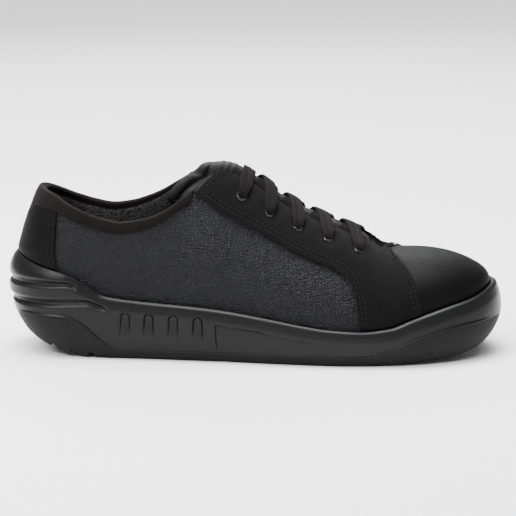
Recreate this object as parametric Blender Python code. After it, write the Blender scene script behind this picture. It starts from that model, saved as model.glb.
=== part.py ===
"""A low safety sneaker for the right foot: a hollow leather upper on a two-piece moulded sole.

Metres, +Z up, +X towards the toe, -Y towards the outer (lateral) side.
The origin is on the floor, under the middle of the shoe's bounding box.
"""

import math

import bmesh
import bpy
import numpy as np
from mathutils import Euler, Matrix, Vector

# Driving sizes
SHOE_LENGTH = 0.275
BALL_WIDTH = 0.0965
SOLE_HEIGHT = 0.0555  # top of the sole at the back of the heel
COLLAR_HEIGHT = 0.0908  # top line at the back of the heel
INSTEP_HEIGHT = 0.1040  # ridge of the instep at the top of the throat
TOE_BOX_HEIGHT = 0.0562  # top of the toe box

# Walls and clearances
FIT = 0.0003  # clearance between pieces that touch
UPPER_WALL = 0.0020
EYESTAY_THICKNESS = 0.0014
COUNTER_THICKNESS = 0.0012
BINDING_THICKNESS = 0.0008
EYESTAY_SEAT = 0.0010  # the eyestay's clearance, wider because it spans the instep's curve
BINDING_SEAT = 0.0008
COUNTER_SEAT = 0.0005
TONGUE_SEAT = 0.0009
TONGUE_THICKNESS = 0.0045
INSOLE_THICKNESS = 0.0042
OUTSOLE_WALL = 0.0032
OUTSOLE_WEB = 0.0040
RIM_LEDGE = 0.0020  # width of the sole's flat rim round the upper
RIM_TUCK = 0.0016  # how far the rim's outer edge stands in from the widest level
FOOT_TUCK = 0.0044  # how far the tread's edge stands in from the widest level
END_TUCK = 0.0053  # how far the rim stands in at the back of the heel
FOOT_ROUND = 0.0160  # height over which the tread's edge turns in
SHOULDER_ROUND = 0.0070  # height over which the rim's edge turns in
INSOLE_DISH = 0.0012  # how far the middle of the footbed lies below its edge

# Features of the sole's side
GROOVE_DEPTH = 0.0019
GROOVE_HALF_HEIGHT = 0.0024
UPPER_GROOVE_END = 0.135  # share of the length where the heel's upper groove runs out
LOWER_GROOVE_END = 0.185
GROOVE_FADE = 0.03
RECESS_DEPTH = 0.0010
RECESS_START = 0.412  # share of the length where the long recess starts
RECESS_END = 0.660  # share of the length from which it fades out
RECESS_STEP = 0.0006  # height of the step at its upper edge
RECESS_FOOT = (0.0040, 0.0110)  # heights between which it fades out above the floor
FLUTE_COUNT = 4
FLUTE_WIDTH = 0.0072
FLUTE_HEIGHT = 0.0165
FLUTE_DEPTH = 0.0011
FLUTE_FIRST = 0.2495  # share of the length at the first flute
FLUTE_PITCH = 0.0470

# Tread
TREAD_DEPTH = 0.0025
TREAD_WIDTH = 0.0030
HEEL_BEVEL_LENGTH = 0.0600
HEEL_BEVEL_HEIGHT = 0.0340
TOE_BEVEL_LENGTH = 0.0250
TOE_BEVEL_HEIGHT = 0.0205
TOE_SPRING = 0.0055
SPRING_START = 0.66  # share of the length where the toe spring starts
SPRING_END = 1.04

# Lacing
EYELET_PAIRS = 5
EYELET_FIRST = 0.452  # share of the length at the top pair
EYELET_PITCH = 0.0668
EYELET_FROM_EDGE = 0.0085
EYELET_SPREAD = 0.0033  # how much further from the throat the last pair lies than the first
EYELET_HOLE = 0.0030  # radius of the hole through the eyestay and upper
EYELET_BORE = 0.0022
EYELET_FLANGE = 0.0041
EYELET_SHEET = 0.0004
LACE_WIDTH = 0.0078
LACE_THICKNESS = 0.0014
LACE_SAG = 0.0010  # how far the laces sink from the eyestay to the tongue's ridge
LACE_END = 0.62  # width of a lace at its eyelet, as a share of its own
LACE_REACH = 0.88  # where a lace dives under the far eyestay, as a share of the throat's half width
LACE_RISE = 0.52  # how far a lace climbs on its way over, as a share of the pitch
DRILL_LENGTH = 0.0120
THROAT_HALF_GAP = 0.0125
THROAT_END = 0.776  # share of the length where the throat closes
BAND_END = 0.784  # share of the length where the eyestay's front edge crosses the ridge

# Round ends and sections
HEEL_ROUND = 0.125
TOE_ROUND = 0.26
TOE_NOSE = 0.834  # share of the length where the toe box starts to fall
ROUND_POWER = 2.2
BELOW_RIM = 0.0012  # the upper's wall is upright to this far below the rim
UPRIGHT_SHARE = 0.14

# Resolution
STATIONS = 34
SOLE_STEPS = (0.152, 0.178, 0.409, 0.422)
OUTER_ROWS = 8
INNER_ROWS = 8


def table(columns, *rows):
    """A table with named columns, as a dictionary of lists."""
    return {name: [row[i] for row in rows] for i, name in enumerate(columns.split())}


# Plan outline: shares of half the ball width, lateral is negative
PLAN = table(
    "along centre half ridge",
    (0.00, 0.000, 0.695, 0.000),
    (0.12, 0.000, 0.705, 0.000),
    (0.25, -0.020, 0.715, 0.000),
    (0.40, -0.050, 0.755, 0.025),
    (0.55, -0.030, 0.880, 0.050),
    (0.70, 0.020, 0.990, 0.070),
    (0.80, 0.055, 1.000, 0.085),
    (1.00, 0.125, 0.975, 0.125),
)

# Side profile of the sole: shares of the sole's height
SOLE = table(
    "along rim line upper_groove lower_groove floor",
    (0.000, 1.000, 0.385, 0.730, 0.548, 0.530),
    (0.050, 0.918, 0.425, 0.742, 0.552, 0.520),
    (0.120, 0.832, 0.415, 0.746, 0.562, 0.510),
    (0.165, 0.715, 0.330, 0.640, 0.566, 0.500),
    (0.190, 0.640, 0.215, 0.592, 0.530, 0.500),
    (0.225, 0.612, 0.085, 0.568, 0.482, 0.495),
    (0.385, 0.550, 0.085, 0.506, 0.450, 0.440),
    (0.440, 0.524, 0.085, 0.480, 0.402, 0.410),
    (0.520, 0.470, 0.085, 0.426, 0.352, 0.350),
    (0.600, 0.405, 0.085, 0.361, 0.270, 0.290),
    (0.660, 0.368, 0.085, 0.324, 0.254, 0.255),
    (0.720, 0.354, 0.090, 0.312, 0.254, 0.240),
    (0.780, 0.384, 0.170, 0.342, 0.285, 0.240),
    (0.830, 0.470, 0.270, 0.425, 0.370, 0.248),
    (0.900, 0.568, 0.355, 0.515, 0.455, 0.268),
    (0.960, 0.632, 0.385, 0.570, 0.500, 0.330),
    (1.000, 0.705, 0.400, 0.640, 0.560, 0.400),
)

# How far the sole's ends stand in, from the tread (level 0) to the rim (level 1): shares of END_TUCK
SOLE_ENDS = table(
    "level back front",
    (0.00, 0.94, 0.32),
    (0.12, 0.56, 0.10),
    (0.30, 0.20, 0.00),
    (0.46, 0.00, 0.05),
    (0.75, 0.09, 0.26),
    (0.91, 0.50, 0.55),
    (1.00, 1.00, 0.80),
)

# The back of the upper: height and set-in from the back of the sole, shares of the collar's height
HEEL_CURVE = table(
    "height in_from_back",
    (0.25, 0.064),
    (0.50, 0.067),
    (0.62, 0.070),
    (0.70, 0.089),
    (0.84, 0.134),
    (1.00, 0.205),
    (1.30, 0.330),
)

# Ridge of the upper: shares of the instep's height, and the fullness of the section
RIDGE = table(
    "along ridge fullness",
    (0.000, 1.300, 2.20),
    (0.200, 1.290, 2.20),
    (0.270, 1.180, 2.20),
    (0.320, 1.060, 2.20),
    (0.352, 1.014, 2.20),
    (0.384, 1.010, 2.20),
    (0.412, 0.992, 2.20),
    (0.460, 0.937, 2.15),
    (0.544, 0.812, 2.10),
    (0.604, 0.738, 2.10),
    (0.674, 0.668, 2.15),
    (0.732, 0.610, 2.20),
    (0.772, 0.562, 2.25),
    (0.800, 0.562, 2.30),
    (1.000, 0.565, 2.40),
)

# Top line: shares of the collar's height
TOPLINE = table(
    "along lateral medial",
    (0.000, 1.000, 1.000),
    (0.038, 0.977, 0.946),
    (0.081, 0.927, 0.894),
    (0.128, 0.877, 0.855),
    (0.170, 0.840, 0.836),
    (0.208, 0.823, 0.850),
    (0.264, 0.848, 0.914),
    (0.298, 0.896, 0.987),
    (0.325, 0.964, 1.045),
    (0.353, 1.030, 1.090),
    (0.372, 1.085, 1.125),
    (0.400, 1.140, 1.160),
    (0.450, 1.260, 1.260),
    (0.500, 1.400, 1.400),
)

# Width of the collar's binding on the outside: shares of the collar's height
BINDING = table(
    "along width",
    (0.00, 0.115),
    (0.03, 0.100),
    (0.07, 0.070),
    (0.40, 0.068),
)

# Lower and back edge of the eyestay, with the front edge from the ridge down to the rim
EYESTAY_BACK = table(
    "along height",
    (0.349, 0.868),
    (0.367, 0.852),
    (0.411, 0.793),
    (0.470, 0.725),
    (0.529, 0.657),
    (0.580, 0.590),
    (0.638, 0.528),
    (0.680, 0.485),
    (0.703, 0.430),
    (0.716, 0.350),
    (0.722, 0.270),
    (0.724, 0.205),
)
EYESTAY_FRONT = table(
    "along drop",
    (0.784, 0.00),
    (0.803, 0.22),
    (0.828, 0.50),
    (0.843, 0.75),
    (0.853, 1.00),
)

# Ends of the binding (a share of the length) and of the counter, and the tongue's free end
BINDING_END = 0.345
COUNTER_END = 0.0305  # distance of the counter's front edge from the back of the sole
TONGUE_HALF_WIDTH = 0.0250
TONGUE_END = table(
    "across along",
    (0.00, 0.349),
    (0.35, 0.341),
    (0.70, 0.320),
    (1.00, 0.293),
)
TONGUE_ROOT = 0.800
TONGUE_TAPER = 0.34  # how much narrower the tongue is at its root
TONGUE_THIN_SIDE = 0.55  # how much thinner it is at its sides
TONGUE_THIN_END = 0.5
TONGUE_CROWN = 0.0040  # how far the padded tongue swells up between the eyestays
COUNTER_LEAN = 0.8  # how far the counter's front edge follows the lean of the heel
COUNTER_DROP = 0.008  # gap below the binding, as a share of the section


def follow(rows, column, at):
    """A smooth curve through one column, with no overshoot between its rows."""
    x = np.array(next(iter(rows.values())), float)
    y = np.array(rows[column], float)
    step = np.diff(x)
    slope = np.diff(y) / step
    tangent = np.zeros(len(x))
    tangent[0] = slope[0]
    tangent[-1] = slope[-1]
    for i in range(1, len(x) - 1):
        if slope[i - 1] * slope[i] > 0:
            before = 2 * step[i] + step[i - 1]
            after = step[i] + 2 * step[i - 1]
            tangent[i] = (before + after) / (before / slope[i - 1] + after / slope[i])
    at = min(max(at, x[0]), x[-1])
    i = min(int(np.searchsorted(x, at, side="right")) - 1, len(x) - 2)
    t = (at - x[i]) / step[i]
    return float(
        (1 + 2 * t) * (1 - t) ** 2 * y[i]
        + t * (1 - t) ** 2 * step[i] * tangent[i]
        + t * t * (3 - 2 * t) * y[i + 1]
        + t * t * (t - 1) * step[i] * tangent[i + 1]
    )


def fade(at, start, end):
    """0 before start, 1 after end, and smooth between them."""
    t = min(max((at - start) / (end - start), 0.0), 1.0)
    return t * t * (3 - 2 * t)


def station(turn):
    """A share of the length that moves slowly at both round ends, so that they are well sampled."""
    return (1 - math.cos(math.pi * turn)) / 2


def sole_shares():
    """Stations of the sole, with extra ones at the outsole's steep step and at the recess's end."""
    shares = [station(i / STATIONS) for i in range(STATIONS + 1)]
    return sorted(shares + list(SOLE_STEPS))


def turn_of(along):
    """The reverse of station."""
    return math.acos(1 - 2 * along) / math.pi


def end_round(along):
    """1 in the middle of the shoe, falling to 0 round the heel and round the toe."""
    heel = max(1 - along / HEEL_ROUND, 0.0)
    toe = max(1 - (1 - along) / TOE_ROUND, 0.0)
    return math.sqrt(1 - heel**2) * (1 - toe**ROUND_POWER) ** (1 / ROUND_POWER)


def plan_point(along, side, inset, back, front, height, across=1.0):
    """A point of the plan outline set in by inset, at a share along it, in the frame of the shoe."""
    half_ball = BALL_WIDTH / 2
    half = (follow(PLAN, "half", along) * half_ball - inset) * end_round(along)
    x = back + along * (front - back)
    y = follow(PLAN, "centre", along) * half_ball + side * half * across
    return Vector((x - SHOE_LENGTH / 2, y - OUTLINE_MIDDLE, height))


def tread_height(along):
    """Height of the sole's underside: flat, with a round bevel at the heel and a spring at the toe."""
    tuck = END_TUCK * SOLE_ENDS["back"][0]
    x = tuck + along * (SHOE_LENGTH - tuck)
    heel = max(1 - x / HEEL_BEVEL_LENGTH, 0.0)
    height = HEEL_BEVEL_HEIGHT * (1 - math.sqrt(1 - heel**2))
    height += TOE_SPRING * fade(along, SPRING_START, SPRING_END)
    toe = max(1 - (SHOE_LENGTH - x) / TOE_BEVEL_LENGTH, 0.0) * 0.94
    return height + TOE_BEVEL_HEIGHT * (1 - math.sqrt(1 - toe**2))


def rim_height(along):
    return SOLE_HEIGHT * follow(SOLE, "rim", along)


def line_height(along):
    """Height of the edge where the outsole meets the midsole, never below the outsole's web."""
    line = SOLE_HEIGHT * follow(SOLE, "line", along)
    return max(line, tread_height(along) + OUTSOLE_WEB + FIT)


def web_height(along):
    """Top of the outsole's web, measured square to the underside."""
    step = 0.004
    low = tread_height(max(along - step, 0.0))
    high = tread_height(min(along + step, 1.0))
    slope = (high - low) / (2 * step * SHOE_LENGTH)
    web = tread_height(along) + OUTSOLE_WEB * math.sqrt(1 + min(slope * slope, 3.0))
    return min(web, line_height(along) - FIT / 2)


def floor_height(along):
    return SOLE_HEIGHT * follow(SOLE, "floor", along)


def side_relief(along, height):
    """How far the grooves of the heel and the long recess stand in from the plain side."""
    upper = SOLE_HEIGHT * follow(SOLE, "upper_groove", along)
    lower = SOLE_HEIGHT * follow(SOLE, "lower_groove", along)
    depth = 0.0
    for middle, end in ((upper, UPPER_GROOVE_END), (lower, LOWER_GROOVE_END)):
        reach = (height - middle) / GROOVE_HALF_HEIGHT
        run_out = 1 - fade(along, end - GROOVE_FADE, end)
        depth += GROOVE_DEPTH * math.exp(-reach * reach) * run_out
    recess = fade(along, RECESS_START, RECESS_START + 0.008)
    recess *= 1 - fade(along, RECESS_END, RECESS_END + 0.06)
    below = fade(lower - height, -RECESS_STEP / 2, RECESS_STEP) * fade(height, *RECESS_FOOT)
    return depth + RECESS_DEPTH * recess * below


def wall_point(along, side, height, inward=0.0):
    """A point on the side of the sole, or inward from it."""
    low = tread_height(along)
    rim = rim_height(along)
    level = (height - low) / (rim - low)
    foot = FOOT_TUCK * max(1 - (height - low) / FOOT_ROUND, 0.0) ** 2.5
    shoulder = RIM_TUCK * max(1 - (rim - height) / SHOULDER_ROUND, 0.0) ** 2
    relief = side_relief(along, height)
    inset = foot + shoulder + relief + inward
    back = END_TUCK * follow(SOLE_ENDS, "back", level) + relief + inward
    front = SHOE_LENGTH - END_TUCK * follow(SOLE_ENDS, "front", level) - inward
    return plan_point(along, side, inset, back, front, height)


def upper_back(height):
    return COLLAR_HEIGHT * follow(HEEL_CURVE, "in_from_back", height / COLLAR_HEIGHT)


UPPER_INSET = RIM_TUCK + RIM_LEDGE + FIT


def upper_front():
    return SHOE_LENGTH - END_TUCK * SOLE_ENDS["front"][-1] - RIM_LEDGE - FIT


def cavity_point(along, side, height, across=1.0, inward=0.0):
    """A point inside the sole's cup, set in from its wall by inward."""
    back = min(upper_back(height), upper_back(rim_height(0))) - FIT + inward
    front = upper_front() + FIT - inward
    inset = UPPER_INSET - FIT + inward
    return plan_point(along, side, inset, back, front, height, across)


def widest_height(along):
    return rim_height(along) - BELOW_RIM


def ridge_height(along):
    """Height of the upper's ridge; past TOE_NOSE it falls like the end of an ellipse."""
    ridge = INSTEP_HEIGHT * follow(RIDGE, "ridge", along)
    if along > RIDGE["along"][-2]:
        ridge = TOE_BOX_HEIGHT
    elif along > 0.735:
        ridge += (TOE_BOX_HEIGHT - INSTEP_HEIGHT * RIDGE["ridge"][-1]) * fade(along, 0.735, 0.80)
    nose = max((along - TOE_NOSE) / (1 - TOE_NOSE), 0.0)
    low = widest_height(along)
    return low + (ridge - low) * max(1 - nose**ROUND_POWER, 0.0) ** (1 / ROUND_POWER)


def section_angle(along, up):
    return max(up - UPRIGHT_SHARE, 0.0) / (1 - UPRIGHT_SHARE) * math.pi / 2


def skin_point(along, side, up):
    """The upper's outer surface: up is 0 at the lower edge and 1 at the ridge."""
    power = 2 / follow(RIDGE, "fullness", along)
    low = floor_height(along) + FIT * 2
    wide = widest_height(along)
    top = ridge_height(along)
    if up < UPRIGHT_SHARE:
        height = low + (wide - low) * up / UPRIGHT_SHARE
        across = 1.0
    else:
        angle = section_angle(along, up)
        height = wide + (top - wide) * math.sin(angle) ** power
        across = max(math.cos(angle), 0.0) ** power
    edge = plan_point(along, side, UPPER_INSET, upper_back(height), upper_front(), height)
    ridge = follow(PLAN, "ridge", along) * BALL_WIDTH / 2 - OUTLINE_MIDDLE
    return Vector((edge.x, ridge + (edge.y - ridge) * across, height))


def skin(turn, around, lift=0.0):
    """The skin over the whole shoe: around is -1 and 1 at the lateral and medial edge, 0 at the ridge."""

    def at(t, a):
        if t < 0:
            t, a = -t, -a
        if t > 1:
            t, a = 2 - t, -a
        return skin_point(station(t), -1 if a < 0 else 1, 1 - min(abs(a), 1.0))

    point = at(turn, around)
    if lift == 0.0:
        return point
    step = 0.004
    along = at(turn + step, around) - at(turn - step, around)
    across = at(turn, around + step) - at(turn, around - step)
    return point + lift * along.cross(across).normalized()


def up_at_height(along, height):
    """The share up the section at which the skin has this height."""
    wide = widest_height(along)
    reach = min(max((height - wide) / (ridge_height(along) - wide), 0.0), 1.0)
    angle = math.asin(reach ** (follow(RIDGE, "fullness", along) / 2))
    return UPRIGHT_SHARE + (1 - UPRIGHT_SHARE) * angle / (math.pi / 2)


def up_at_gap(along, side, gap):
    """The share up the section at which the skin is this far from the ridge line."""
    wide = skin_point(along, side, UPRIGHT_SHARE)
    ridge = skin_point(along, side, 1.0)
    reach = min(gap / abs(wide.y - ridge.y), 1.0)
    angle = math.acos(reach ** (follow(RIDGE, "fullness", along) / 2))
    return UPRIGHT_SHARE + (1 - UPRIGHT_SHARE) * angle / (math.pi / 2)


def throat_gap(along):
    """Half the throat's width; it closes as a round end at THROAT_END."""
    round_length = THROAT_HALF_GAP / SHOE_LENGTH
    reach = min(max((along - THROAT_END + round_length) / round_length, 0.0), 1.0)
    return THROAT_HALF_GAP * math.sqrt(1 - reach * reach)


def edge_up(along, side):
    """The share up the section of the upper's free edge: the top line, the throat's edge, then the ridge."""
    if along >= THROAT_END:
        return 1.0
    name = "lateral" if side < 0 else "medial"
    collar = up_at_height(along, COLLAR_HEIGHT * follow(TOPLINE, name, along))
    if along < 0.30:
        return collar
    throat = up_at_gap(along, side, throat_gap(along))
    softness = 0.035
    ease = max(softness - abs(collar - throat), 0.0) ** 2 / (4 * softness)
    return min(collar, throat) - ease


def outline_middle():
    """Middle of the sole's width in plan, which puts the origin under the middle of the shoe."""
    half_ball = BALL_WIDTH / 2
    shares = [i / 400 for i in range(401)]
    lines = []
    for side in (-1, 1):
        reach = [
            half_ball * (follow(PLAN, "centre", s) + side * follow(PLAN, "half", s) * end_round(s))
            for s in shares
        ]
        lines.append(max(reach, key=abs))
    return sum(lines) / 2


OUTLINE_MIDDLE = outline_middle()


def clear_scene():
    for item in list(bpy.data.objects):
        bpy.data.objects.remove(item)


def collection(name):
    made = bpy.data.collections.new(name)
    bpy.context.scene.collection.children.link(made)
    return made


def material(name, colour, roughness, metallic=0.0):
    made = bpy.data.materials.new(name)
    made.use_nodes = True
    shader = made.node_tree.nodes["Principled BSDF"]
    shader.inputs["Base Color"].default_value = (*colour, 1.0)
    shader.inputs["Roughness"].default_value = roughness
    shader.inputs["Metallic"].default_value = metallic
    return made


def finish_mesh(name, mesh_data, finish, home):
    """Welds a bmesh, turns its faces outwards and links it as an object."""
    bmesh.ops.remove_doubles(mesh_data, verts=mesh_data.verts, dist=0.00001)
    bmesh.ops.dissolve_degenerate(mesh_data, edges=mesh_data.edges, dist=0.00001)
    bmesh.ops.recalc_face_normals(mesh_data, faces=mesh_data.faces)
    if mesh_data.calc_volume(signed=True) < 0:
        bmesh.ops.reverse_faces(mesh_data, faces=mesh_data.faces)
    mesh = bpy.data.meshes.new(name)
    mesh_data.to_mesh(mesh)
    mesh_data.free()
    mesh.materials.append(finish)
    mesh.shade_smooth()
    mesh.set_sharp_from_angle(angle=math.radians(35))
    made = bpy.data.objects.new(name, mesh)
    home.objects.link(made)
    return made


def add_grid(mesh_data, rows, closed=False):
    """Adds quads between neighbouring rows of points; closed joins each row's last point to its first."""
    made = [[mesh_data.verts.new(point) for point in row] for row in rows]
    for low, high in zip(made, made[1:]):
        count = len(low)
        for i in range(count if closed else count - 1):
            j = (i + 1) % count
            mesh_data.faces.new((low[i], low[j], high[j], high[i]))


def loft(name, half_section, finish, home):
    """A closed solid through the sole's stations; a half section runs from bottom middle to top middle."""
    mesh_data = bmesh.new()
    rows = []
    for along in sole_shares():
        lateral = half_section(along, -1)
        medial = half_section(along, 1)
        rows.append(lateral[::-1] + medial[1:-1])
    add_grid(mesh_data, rows, closed=True)
    return finish_mesh(name, mesh_data, finish, home)


def boolean(target, cutter, operation="DIFFERENCE"):
    """Applies one exact Boolean and removes its cutter."""
    step = target.modifiers.new("Cut", "BOOLEAN")
    step.operation = operation
    step.object = cutter
    step.solver = "EXACT"
    bpy.context.view_layer.update()
    graph = bpy.context.evaluated_depsgraph_get()
    mesh = bpy.data.meshes.new_from_object(target.evaluated_get(graph))
    target.modifiers.remove(step)
    target.data = mesh
    bpy.data.objects.remove(cutter)


def as_cutter(made, home):
    made.hide_render = True
    made.display_type = "WIRE"
    for owner in list(made.users_collection):
        owner.objects.unlink(made)
    home.objects.link(made)
    return made


def box_cutter(size, place, turn, home):
    bpy.ops.mesh.primitive_cube_add(size=1.0)
    made = bpy.context.object
    made.data.transform(Matrix.Diagonal((*size, 1.0)))
    made.data.transform(turn.to_matrix().to_4x4())
    made.data.transform(Matrix.Translation(place))
    return as_cutter(made, home)


def build_outsole(finish, home, cutters):
    """The tread: a web with a low wall that climbs round the heel and the toe."""

    def half_section(along, side):
        low = tread_height(along)
        line = line_height(along)
        web = web_height(along)
        edge = wall_point(along, side, low)
        middle = Vector((edge.x, 0, low))
        middle.y = follow(PLAN, "centre", along) * BALL_WIDTH / 2 - OUTLINE_MIDDLE
        tread = [middle.lerp(edge, share) for share in (0, 0.45, 0.86)]
        wall = [wall_point(along, side, low + (line - low) * share) for share in (0.1, 0.4, 1)]
        top = wall_point(along, side, line, OUTSOLE_WALL)
        foot = wall_point(along, side, web, OUTSOLE_WALL)
        inner = Vector((foot.x, middle.y, web))
        return tread + wall + [top, foot, foot.lerp(inner, 0.5), inner]

    made = loft("outsole", half_section, finish, home)
    for groove in tread_grooves(cutters):
        boolean(made, groove)
    return made


# Tread grooves: share along, half length as a share of the width, and slant in degrees
TREAD = table(
    "along reach slant",
    (0.087, 1.30, 0),
    (0.128, 1.30, 0),
    (0.166, 1.30, 0),
    (0.210, 0.72, 0),
    (0.260, 0.72, 0),
    (0.500, 0.76, 10),
    (0.560, 0.77, 10),
    (0.620, 0.78, 10),
    (0.680, 0.79, 10),
    (0.740, 0.79, 10),
    (0.800, 0.77, 10),
    (0.860, 0.72, 10),
)


def tread_grooves(cutters):
    """Cross grooves of the tread: straight bars at the heel, and pairs that meet in a shallow V in front."""
    bars = []
    step = 0.01
    for along, reach, slant in zip(TREAD["along"], TREAD["reach"], TREAD["slant"]):
        low = tread_height(along)
        rise = tread_height(along + step) - tread_height(along - step)
        pitch = -math.atan2(rise, 2 * step * SHOE_LENGTH)
        middle = follow(PLAN, "centre", along) * BALL_WIDTH / 2 - OUTLINE_MIDDLE
        edge = wall_point(along, 1, low)
        half = (edge.y - middle) * reach
        lean = math.radians(slant)
        if slant == 0:
            size = (TREAD_WIDTH, 2 * half, 2 * TREAD_DEPTH)
            place = Vector((edge.x, middle, low))
            bars.append(box_cutter(size, place, Euler((0, pitch, 0)), cutters))
            continue
        for side in (-1, 1):
            size = (TREAD_WIDTH, half + TREAD_WIDTH, 2 * TREAD_DEPTH)
            place = Vector((edge.x - math.tan(lean) * half / 2, middle + side * half / 2, low))
            bars.append(box_cutter(size, place, Euler((0, pitch, side * lean)), cutters))
    return bars


def build_midsole(finish, home, cutters):
    """The cup: it carries the upper, and its side has the grooves, flutes and recess."""

    def half_section(along, side):
        line = line_height(along) + FIT
        rim = rim_height(along)
        upper = SOLE_HEIGHT * follow(SOLE, "upper_groove", along)
        lower = SOLE_HEIGHT * follow(SOLE, "lower_groove", along)
        half_groove = GROOVE_HALF_HEIGHT * 0.9
        heights = [
            line,
            line + (lower - half_groove - line) * 0.5,
            lower - half_groove,
            lower,
            lower + min(half_groove, (upper - lower) * 0.35),
            upper - min(half_groove, (upper - lower) * 0.35),
            upper,
            upper + (rim - upper) * 0.5,
            rim - (rim - upper) * 0.1,
            rim,
        ]
        wall = [wall_point(along, side, height) for height in heights]
        step = wall_point(along, side, line, OUTSOLE_WALL + FIT * 2)
        foot = wall_point(along, side, web_height(along) + FIT, OUTSOLE_WALL + FIT * 2)
        middle_y = follow(PLAN, "centre", along) * BALL_WIDTH / 2 - OUTLINE_MIDDLE
        bottom = Vector((foot.x, middle_y, foot.z))
        ledge = cavity_point(along, side, rim)
        seat = cavity_point(along, side, floor_height(along))
        seat_middle = cavity_point(along, side, floor_height(along), across=0.0)
        floor = [seat, seat.lerp(seat_middle, 0.5), seat_middle]
        return [bottom, bottom.lerp(foot, 0.5), foot, step] + wall + [ledge] + floor

    made = loft("midsole", half_section, finish, home)
    for side in (-1, 1):
        for i in range(FLUTE_COUNT):
            boolean(made, flute_cutter(FLUTE_FIRST + i * FLUTE_PITCH, side, cutters))
    return made


def flute_cutter(along, side, cutters):
    """One upright flute: a long ellipsoid that dips into the side and runs out at its foot."""
    top = SOLE_HEIGHT * follow(SOLE, "lower_groove", along)
    middle = top - FLUTE_HEIGHT / 2
    face = wall_point(along, side, middle)
    above = wall_point(along, side, top)
    below = wall_point(along, side, top - FLUTE_HEIGHT)
    lean = math.atan2((above.y - below.y), FLUTE_HEIGHT) - side * math.radians(3)
    bpy.ops.mesh.primitive_uv_sphere_add(segments=10, ring_count=6, radius=1.0)
    made = bpy.context.object
    stretch = Matrix.Diagonal((FLUTE_WIDTH / 2, FLUTE_DEPTH * 2, FLUTE_HEIGHT * 0.55, 1.0))
    made.data.transform(stretch)
    made.data.transform(Matrix.Rotation(-lean, 4, "X"))
    made.data.transform(Matrix.Translation(face + Vector((0, side * FLUTE_DEPTH, 0))))
    return as_cutter(made, cutters)


def build_insole(finish, home):
    """The footbed, which lies on the cup's floor inside the upper."""
    edge_inset = FIT + UPPER_WALL + 2 * FIT

    def half_section(along, side):
        low = floor_height(along) + FIT
        high = low + INSOLE_THICKNESS
        foot = cavity_point(along, side, low, inward=edge_inset + FIT)
        edge = cavity_point(along, side, high, inward=edge_inset)
        dish = high - INSOLE_DISH
        cup = cavity_point(along, side, high - INSOLE_DISH * 0.75, across=0.55, inward=edge_inset)
        bottom = cavity_point(along, side, low, across=0.0, inward=edge_inset + FIT)
        top = cavity_point(along, side, dish, across=0.0, inward=edge_inset)
        return [bottom, bottom.lerp(foot, 0.6), foot, edge, cup, top]

    return loft("insole", half_section, finish, home)


def upper_turns():
    """Stations of the upper, with one exactly at the binding's end and one where the throat closes."""
    turns = [i / STATIONS for i in range(STATIONS + 1)]
    for exact in (turn_of(BINDING_END), turn_of(THROAT_END)):
        nearest = min(range(len(turns)), key=lambda i: abs(turns[i] - exact))
        turns[nearest] = exact
    tip = turns[nearest] - (turns[nearest] - turns[nearest - 1]) * 0.35
    return turns[:nearest] + [tip] + turns[nearest:]


def build_upper(finish, home):
    """The hollow upper: one wall from the sole's floor to the top line, the throat and the ridge."""
    turns = upper_turns()
    ring = [(turn, -1) for turn in turns] + [(turn, 1) for turn in turns[-2:0:-1]]
    outer = []
    inner = []
    for turn, side in ring:
        top = edge_up(station(turn), side)
        outer.append(
            [skin(turn, side * (1 - top * j / OUTER_ROWS)) for j in range(OUTER_ROWS + 1)]
        )
        inner.append(
            [
                skin(turn, side * (1 - top * j / INNER_ROWS), -UPPER_WALL)
                for j in range(INNER_ROWS + 1)
            ]
        )
    mesh_data = bmesh.new()
    outside = [[mesh_data.verts.new(point) for point in row] for row in outer]
    inside = [[mesh_data.verts.new(point) for point in row] for row in inner]
    for i in range(len(ring)):
        j = (i + 1) % len(ring)
        for rows in (outside, inside):
            for low in range(len(rows[i]) - 1):
                corners = (rows[i][low], rows[j][low], rows[j][low + 1], rows[i][low + 1])
                mesh_data.faces.new(corners)
        mesh_data.faces.new((outside[i][0], outside[j][0], inside[j][0], inside[i][0]))
        shares = [station(ring[k][0]) for k in (i, j)]
        if min(shares) < THROAT_END - 1e-6:
            corners = (outside[i][-1], outside[j][-1], inside[j][-1], inside[i][-1])
            mesh_data.faces.new(corners)
    return finish_mesh("upper", mesh_data, finish, home)


def build_patch(name, rows, low, high, finish, home):
    """A leather piece over the skin: rows of (turn, around), from lift low to lift high."""
    mesh_data = bmesh.new()
    under = [[mesh_data.verts.new(skin(t, a, low)) for t, a in row] for row in rows]
    over = [[mesh_data.verts.new(skin(t, a, high)) for t, a in row] for row in rows]
    count = len(rows[0])
    last = len(rows) - 1
    for i in range(last):
        for j in range(count - 1):
            for sheet in (under, over):
                corners = (sheet[i][j], sheet[i][j + 1], sheet[i + 1][j + 1], sheet[i + 1][j])
                mesh_data.faces.new(corners)
        for j in (0, count - 1):
            mesh_data.faces.new((under[i][j], under[i + 1][j], over[i + 1][j], over[i][j]))
    for i in (0, last):
        for j in range(count - 1):
            mesh_data.faces.new((under[i][j], under[i][j + 1], over[i][j + 1], over[i][j]))
    return finish_mesh(name, mesh_data, finish, home)


def above_rim(along):
    """The share up the section just clear of the sole's rim."""
    return up_at_height(along, rim_height(along) + 2 * FIT)


def binding_foot(along, side):
    """The share up the section at the lower edge of the collar's binding."""
    top = skin_point(along, side, edge_up(along, side)).z
    return up_at_height(along, top - COLLAR_HEIGHT * follow(BINDING, "width", along))


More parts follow.
